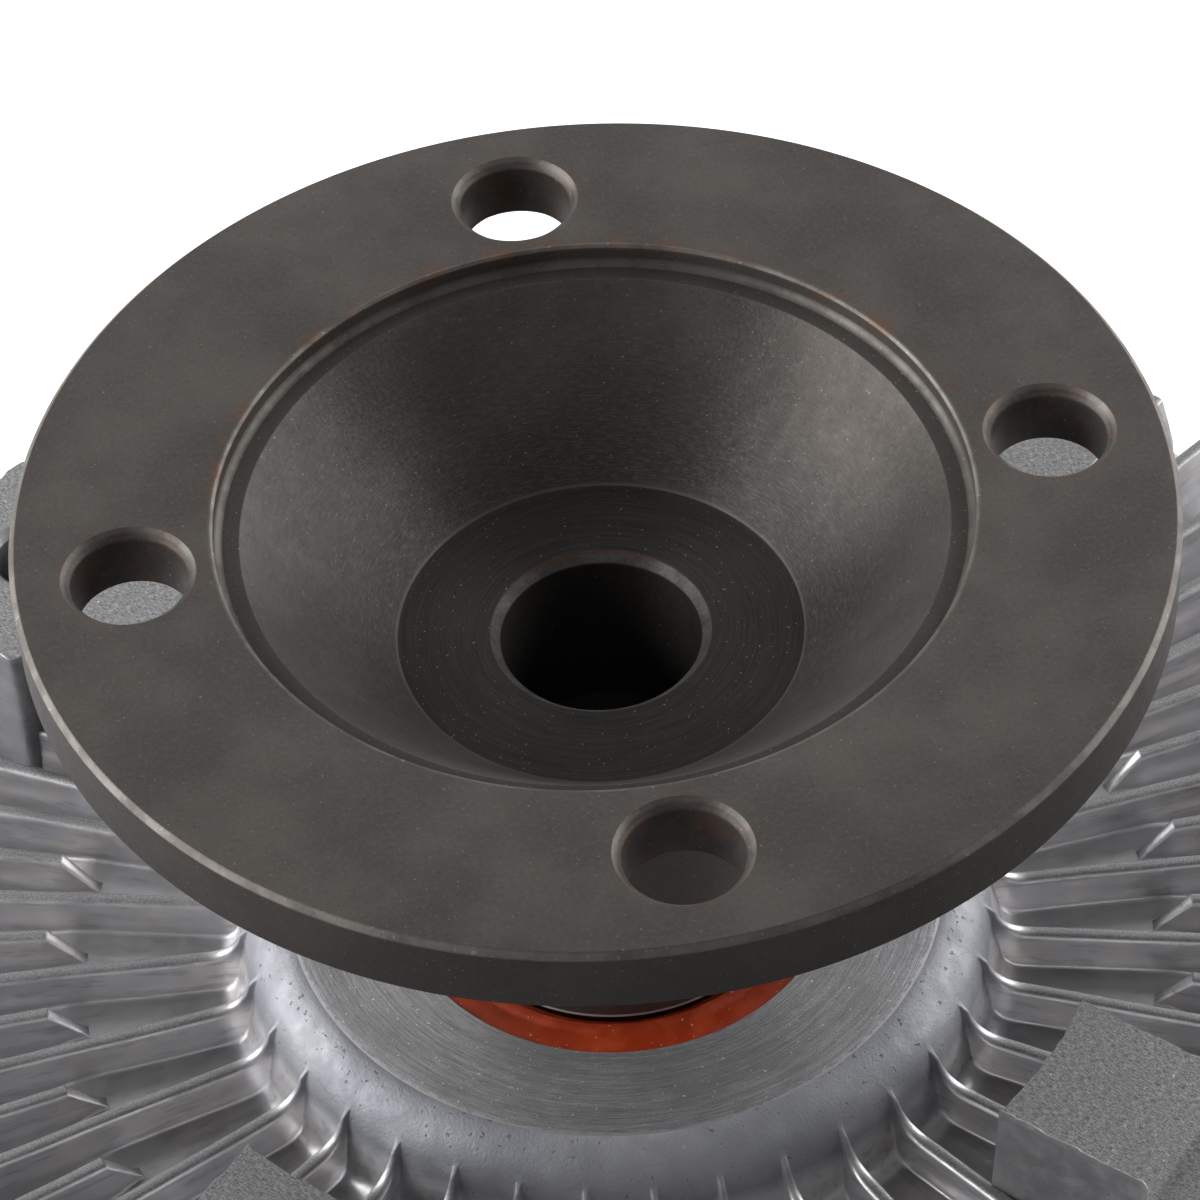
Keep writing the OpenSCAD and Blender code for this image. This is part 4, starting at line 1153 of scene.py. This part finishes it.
def bearing_seal():
    """Moulded seal with a raised band, a groove near its inner edge and a lip towards the shaft."""
    (band_in, band_out), (groove_in, groove_out) = SEAL_BAND, SEAL_GROOVE
    edge_z, groove_z = SEAL_TOP_Z - SEAL_EDGE, SEAL_TOP_Z - SEAL_GROOVE_DEPTH
    section = [
        (SEAL_BORE_R, SEAL_LOW_Z), (SEAL_R, SEAL_LOW_Z), (SEAL_R, SEAL_STEP_Z), (band_out, SEAL_STEP_Z),
        *arc((band_out - SEAL_EDGE, edge_z), SEAL_EDGE, 0, 90, 4),
        (groove_out, SEAL_TOP_Z), (groove_out - SEAL_GROOVE_SIDE, groove_z),
        (groove_in + SEAL_GROOVE_SIDE, groove_z), (groove_in, SEAL_TOP_Z),
        *arc((band_in + SEAL_EDGE, edge_z), SEAL_EDGE, 90, 180, 4),
        (band_in, SEAL_STEP_Z), (SEAL_BORE_R, SEAL_STEP_Z),
    ]
    piece = turned("moulded_seal", section, 160)
    paint(piece, SEAL_RUBBER)
    return piece


def pad_outline(offset):
    """Plan of a fan pad, grown by an offset, from its inner arc round the stem and head."""
    half, head = PAD_HALF + offset, PAD_HEAD_HALF + offset
    shoulder, end, inner = PAD_HEAD_R - offset, PAD_END_R + offset, PAD_INNER_R - offset
    reach = math.degrees(math.asin(half / inner))
    neck = (shoulder - PAD_NECK_FILLET, half + PAD_NECK_FILLET)
    side = arc(neck, PAD_NECK_FILLET, -90, 0, 2)
    side += arc((shoulder + PAD_SHOULDER_ROUND, head - PAD_SHOULDER_ROUND), PAD_SHOULDER_ROUND, 180, 90, 4)
    side += arc((end - PAD_CORNER, head - PAD_CORNER), PAD_CORNER, 90, 0, 8)
    lower = [(x, -y) for x, y in side]
    return arc((0, 0), inner, reach, -reach, 10) + lower + list(reversed(side))


def fan_drill(spare):
    """Drill for the tapped hole of the pad on the x axis, wider by a spare amount."""
    r, end = FAN_HOLE_R + spare, -FAN_HOLE_DEPTH - spare
    mouth_r = r + FAN_HOLE_EDGE + OVER
    hole = [(0, OVER), (mouth_r, OVER), (r, -FAN_HOLE_EDGE), (r, end), (0, end - FAN_HOLE_TIP)]
    drill = turned("fan_drill", hole, 48)
    shift(drill, FAN_HOLE_AT, PAD_Z)
    return drill


def rough_edge(ring):
    """A ring of a pad's edge, pulled in and out unevenly in fine and coarse waves."""
    fine, fine_pull = 1.3, 0.16
    coarse, coarse_pull, coarse_z = 0.5, 0.14, 5
    half_length, half_width = 12, 8
    result = []
    for x, y, z in ring:
        pull = noise.noise(Vector((x, y, 0)) * fine) * fine_pull
        pull += noise.noise(Vector((x, y, coarse_z)) * coarse) * coarse_pull
        result.append((x + pull * (PAD_MIDDLE_R - x) / half_length, y - pull * y / half_width, z))
    return result


def fan_pads():
    """Four cast pads with machined tops, rough edges and tapped holes."""
    edge, side_step = 0.06, 0.5
    levels = [(z, (PAD_Z - z) * math.tan(PAD_DRAFT)) for z in (PAD_LOW_Z, PAD_Z - 6, PAD_Z - 1)]
    levels += [(PAD_Z - edge, 0), (PAD_Z, -edge)]
    counts = [max(1, round(math.dist(a, b) / side_step)) for a, b in sides(pad_outline(0))]
    rings = [[(x, y, z) for x, y in finer(pad_outline(offset), counts)] for z, offset in levels]
    piece = lofted("fan_pads", rings[:-2] + [rough_edge(ring) for ring in rings[-2:]])
    cut(piece, fan_drill(0))
    ring_of(piece, PAD_COUNT, math.pi / PAD_COUNT, PAD_WALL)
    repaint(piece, PAD_FACE, lambda at, normal: normal.z > 0.9 and at.z > PAD_Z - 0.1)
    return piece


def on_face(at, normal):
    """Whether a face lies on the boss's turned face."""
    return math.hypot(at.x, at.y) < FACE_R and at.z > LIP_Z - 0.2 and normal.z > 0.5


def rear_housing():
    """Finned rear casting with its machined boss face."""
    spare = 0.05
    piece = fin_tile("finned_housing", rear_stations(), REAR_FIN, True)
    ring_of(piece, FIN_COUNT, FIN_STEP / 2, CAST_ALLOY)
    cast_wobble(piece)
    cut(piece, ring_of(fan_drill(spare), PAD_COUNT, math.pi / PAD_COUNT, CAST_ALLOY))
    repaint(piece, TURNED_FACE, on_face)
    return piece


def post_block(name, x0, x1, y0, y1, z0, z1):
    """A cast block with round corners and a broken edge at its outer end."""
    rings = []
    for z, inset in ((z0, 0), (z1 + POST_EDGE, 0), (z1, POST_EDGE)):
        left, right, front, back = x0 + inset, x1 - inset, y0 + inset, y1 - inset
        plan = [(left, front), (right, front), (right, back), (left, back)]
        rings.append([(x, y, z) for x, y in rounded(plan, POST_ROUND)])
    block = lofted(name, rings)
    paint(block, CAST_ALLOY)
    return block


def front_cover():
    """Finned cover with the slotted post that holds the coil's outer end."""
    piece = fin_tile("finned_cover", front_stations(), FRONT_FIN, False)
    ring_of(piece, FIN_COUNT, FIN_STEP / 2, CAST_ALLOY)
    cast_wobble(piece)
    reach = (COIL_END_R + COIL_T, COIL_END_R + COIL_TAB)
    front, back = (COIL_T - POST_W) / 2, (COIL_T + POST_W) / 2
    foot_z, wall_z = COIL_Z + POST_SLOT_GAP, COIL_Z + POST_SLOT_GAP * 2
    return joined(
        piece,
        post_block("post_foot", *reach, front, back, COVER_MID_Z + 1, foot_z),
        post_block("post_front", *reach, front, -POST_SLOT_GAP, wall_z, COIL_END_Z),
        post_block("post_back", *reach, COIL_T + POST_SLOT_GAP, back, wall_z, COIL_END_Z),
    )


def cover_screws():
    """Hexagon screws with chamfered heads."""
    past_corner = (-0.06, 0.06, 0.32, 0.72)
    turns = [math.radians(60 * i) + past for i in range(6) for past in past_corner]
    flat_r = SCREW_HEAD_R * math.cos(math.pi / 6)
    end_edge, head_edge = 0.6, 0.45

    def level(z, r):
        ring = []
        for a in turns:
            reach = min(r, flat_r / math.cos(a % (math.pi / 3) - math.pi / 6))
            ring.append((reach * math.cos(a), reach * math.sin(a), z))
        return ring

    rings = [
        level(SCREW_END_Z, SCREW_R - end_edge), level(SCREW_END_Z - end_edge, SCREW_R),
        level(COVER_FACE_Z, SCREW_R), level(COVER_FACE_Z, SCREW_HEAD_R),
        level(SCREW_HEAD_Z + head_edge, SCREW_HEAD_R), level(SCREW_HEAD_Z, flat_r - head_edge / 3),
    ]
    piece = lofted("hexagon_screws", rings)
    shift(piece, SCREW_CIRCLE_R)
    ring_of(piece, SCREW_COUNT, 0.0, PLATED_STEEL)
    return piece


def coil_path():
    """Middle line of the coil: slot end, bend, half turns whose centre changes sides, bend and tab."""
    half = COIL_T / 2
    path = [(-COIL_SLOT_REACH, -half)] + arc((COIL_R - COIL_T, half), COIL_T, -90, -10, 5)
    lead = math.degrees(math.asin(half / COIL_R))
    tail = math.degrees(math.asin(half / (COIL_END_R - COIL_HALF_PITCH)))
    for k in range(COIL_HALVES):
        centre = (k % 2 * COIL_HALF_PITCH, 0)
        start = 180 * (k % 2) + (lead if k == 0 else 0)
        stop = 180 * (k % 2) + 180 - (tail if k == COIL_HALVES - 1 else 0)
        path += arc(centre, COIL_R + k * COIL_HALF_PITCH, start, stop, 40)[0 if k == 0 else 1:]
    path += arc((COIL_END_R + COIL_T, -half), COIL_T, 170, 90, 5)
    return path + [(COIL_END_R + COIL_TAB - half, half)]


def bimetal_coil():
    """Spiral strip from the slot in the valve shaft to the cover's post."""
    half = COIL_T / 2
    path = coil_path()
    corners = [(-half, COIL_Z), (half, COIL_Z), (half, COIL_END_Z), (-half, COIL_END_Z)]
    section = rounded(corners, EDGE_SOFT, 2)
    rings = []
    for i, here in enumerate(path):
        a, b = path[max(i - 1, 0)], path[min(i + 1, len(path) - 1)]
        side = Vector((b[1] - a[1], a[0] - b[0])).normalized()
        rings.append([(here[0] + side.x * d, here[1] + side.y * d, z) for d, z in section])
    piece = lofted("coil_strip", rings)
    paint(piece, BIMETAL_STRIP)
    return piece


def build():
    """Paints the CAD parts that stay, makes the detailed pieces, puts each but the coil under its body and
    hides the CAD node it stands for.
    """
    for name, material in NODE_FINISH.items():
        paint(nodes[name], material)
    plan = (
        (flange_shaft(), "drive", "flange_shaft", "oxide_steel"),
        (bearing_seal(), "housing", "rear_bearing_seal", "seal_rubber"),
        (rear_housing(), "housing", "rear_housing", "cast_alloy"),
        (fan_pads(), "housing", "rear_housing", "cast_alloy"),
        (front_cover(), "housing", "front_cover", "cast_alloy"),
        (cover_screws(), "housing", "cover_screws", "plated_steel"),
    )
    for piece, body, node, slot in plan:
        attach(piece, body)
        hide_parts(node)
    coil = bimetal_coil()
    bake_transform(coil)
    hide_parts("bimetal_coil")


# Stage, lamps and camera, with the stage's and lamps' sizes in metres

ROOM_LIGHT = 0.195
FLOOR_REACH = 4.0
FLOOR_GAP = 0.0001
FLOOR_COLOUR = (0.55, 0.55, 0.55)
FLOOR_GLOW = 0.9
BACKDROP_FRONT = (-0.05, 0.2)
BACKDROP_SIDE = (-0.2, 0.25)
BACKDROP_TOP = (0.45, 0.2)
LAMP_AIM = (0, 0, -0.04)
LAMPS = (
    ("left_box", (-0.775, 0.17, 0.3), (0.9, 0.7), 10.8),
    ("right_box", (0.765, 0.25, 0.28), (0.9, 0.7), 7.0),
    ("back_box", (0.0, 0.7, 0.5), (0.7, 0.5), 0.6),
)


def seen_share(work, behind):
    """1 for the camera's own rays, and for mirrored ones that meet the backdrop behind the part."""
    path = work.add("ShaderNodeLightPath").outputs
    mirrored = work.most(path["Is Glossy Ray"], path["Is Transmission Ray"])
    return work.most(path["Is Camera Ray"], work.times(mirrored, behind))


def backdrop_finish():
    """Pale floor that shows white from above and keeps the object's shadow, and is clear from below."""
    material = bpy.data.materials.new("pale_floor")
    material.use_nodes = True
    work = NodeWork(material.node_tree)
    work.tree.nodes.clear()
    place = work.add("ShaderNodeTexCoord").outputs["Object"]
    behind = work.band(work.add("ShaderNodeSeparateXYZ", {0: place}).outputs["Y"], *BACKDROP_FRONT)
    strength = work.times(seen_share(work, behind), FLOOR_GLOW)
    plain = work.add("ShaderNodeBsdfDiffuse", {"Color": (*FLOOR_COLOUR, 1)}).outputs[0]
    glow = work.add("ShaderNodeEmission", {"Strength": strength}).outputs[0]
    lit = work.add("ShaderNodeAddShader", {0: plain, 1: glow}).outputs[0]
    from_below = work.add("ShaderNodeNewGeometry").outputs["Backfacing"]
    clear = work.add("ShaderNodeBsdfTransparent").outputs[0]
    one_sided = work.add("ShaderNodeMixShader", {0: from_below, 1: lit, 2: clear}).outputs[0]
    work.add("ShaderNodeOutputMaterial", {"Surface": one_sided})
    return material


def floor():
    """A wide floor just under the part."""
    z = FRONT_Z * MM - FLOOR_GAP
    corners = [(FLOOR_REACH * x, FLOOR_REACH * y, z) for x, y in ((-1, -1), (1, -1), (1, 1), (-1, 1))]
    mesh = bpy.data.meshes.new("floor")
    mesh.from_pydata(corners, [], [(0, 1, 2, 3)])
    mesh.materials.append(backdrop_finish())
    placed("floor", mesh)


def room():
    """A dim room with a white backdrop behind the part."""
    world = bpy.data.worlds.new("white_room")
    bpy.context.scene.world = world
    world.use_nodes = True
    work = NodeWork(world.node_tree)
    background = work.tree.nodes["Background"]
    background.inputs["Color"].default_value = (1, 1, 1, 1)
    way = work.add("ShaderNodeTexCoord").outputs["Generated"]
    _, y, z = work.add("ShaderNodeSeparateXYZ", {0: way}).outputs
    behind = work.times(work.band(y, *BACKDROP_SIDE), work.band(z, *BACKDROP_TOP))
    work.join(work.level(seen_share(work, behind), ROOM_LIGHT, 1.0), background.inputs["Strength"])


def lamp(name, place, size, power):
    """A soft rectangular lamp that faces the part."""
    light = bpy.data.lights.new(name, "AREA")
    light.shape = "RECTANGLE"
    light.size, light.size_y = size
    light.energy = power
    obj = placed(name, light)
    obj.location = place
    obj.rotation_euler = (Vector(LAMP_AIM) - Vector(place)).to_track_quat("-Z", "Y").to_euler()


def photo_camera():
    """The camera that sees the part as the photograph does."""
    back = Vector((0, -math.cos(VIEW_HEIGHT), math.sin(VIEW_HEIGHT)))
    right = Vector((1, 0, 0))
    down = (-back).cross(right)
    level = Matrix((right, down, -back))
    aim = Vector((*((pixel - PHOTO_SIZE / 2) / FOCAL_PIXELS for pixel in FLANGE_CENTRE_PIXEL), 1))
    swing = Vector((0, 0, 1)).rotation_difference(aim).to_matrix()
    rolled = swing @ Matrix.Rotation(VIEW_ROLL, 3, "Z") @ level
    turn = Matrix.Rotation(VIEW_TURN, 3, "Z")
    axes = Matrix((turn @ rolled[0], turn @ -rolled[1], turn @ -rolled[2]))
    data = bpy.data.cameras.new("photo_camera")
    data.sensor_width = SENSOR_WIDTH
    data.lens = FOCAL_PIXELS / PHOTO_SIZE * SENSOR_WIDTH
    data.clip_start, data.clip_end = CLIP_RANGE
    camera = placed("photo_camera", data)
    camera.matrix_world = Matrix.Translation(turn @ back * VIEW_DISTANCE * MM) @ axes.transposed().to_4x4()
    bpy.context.scene.camera = camera


build()
floor()
room()
for settings in LAMPS:
    lamp(*settings)
photo_camera()
bpy.context.scene.view_settings.view_transform = "Standard"
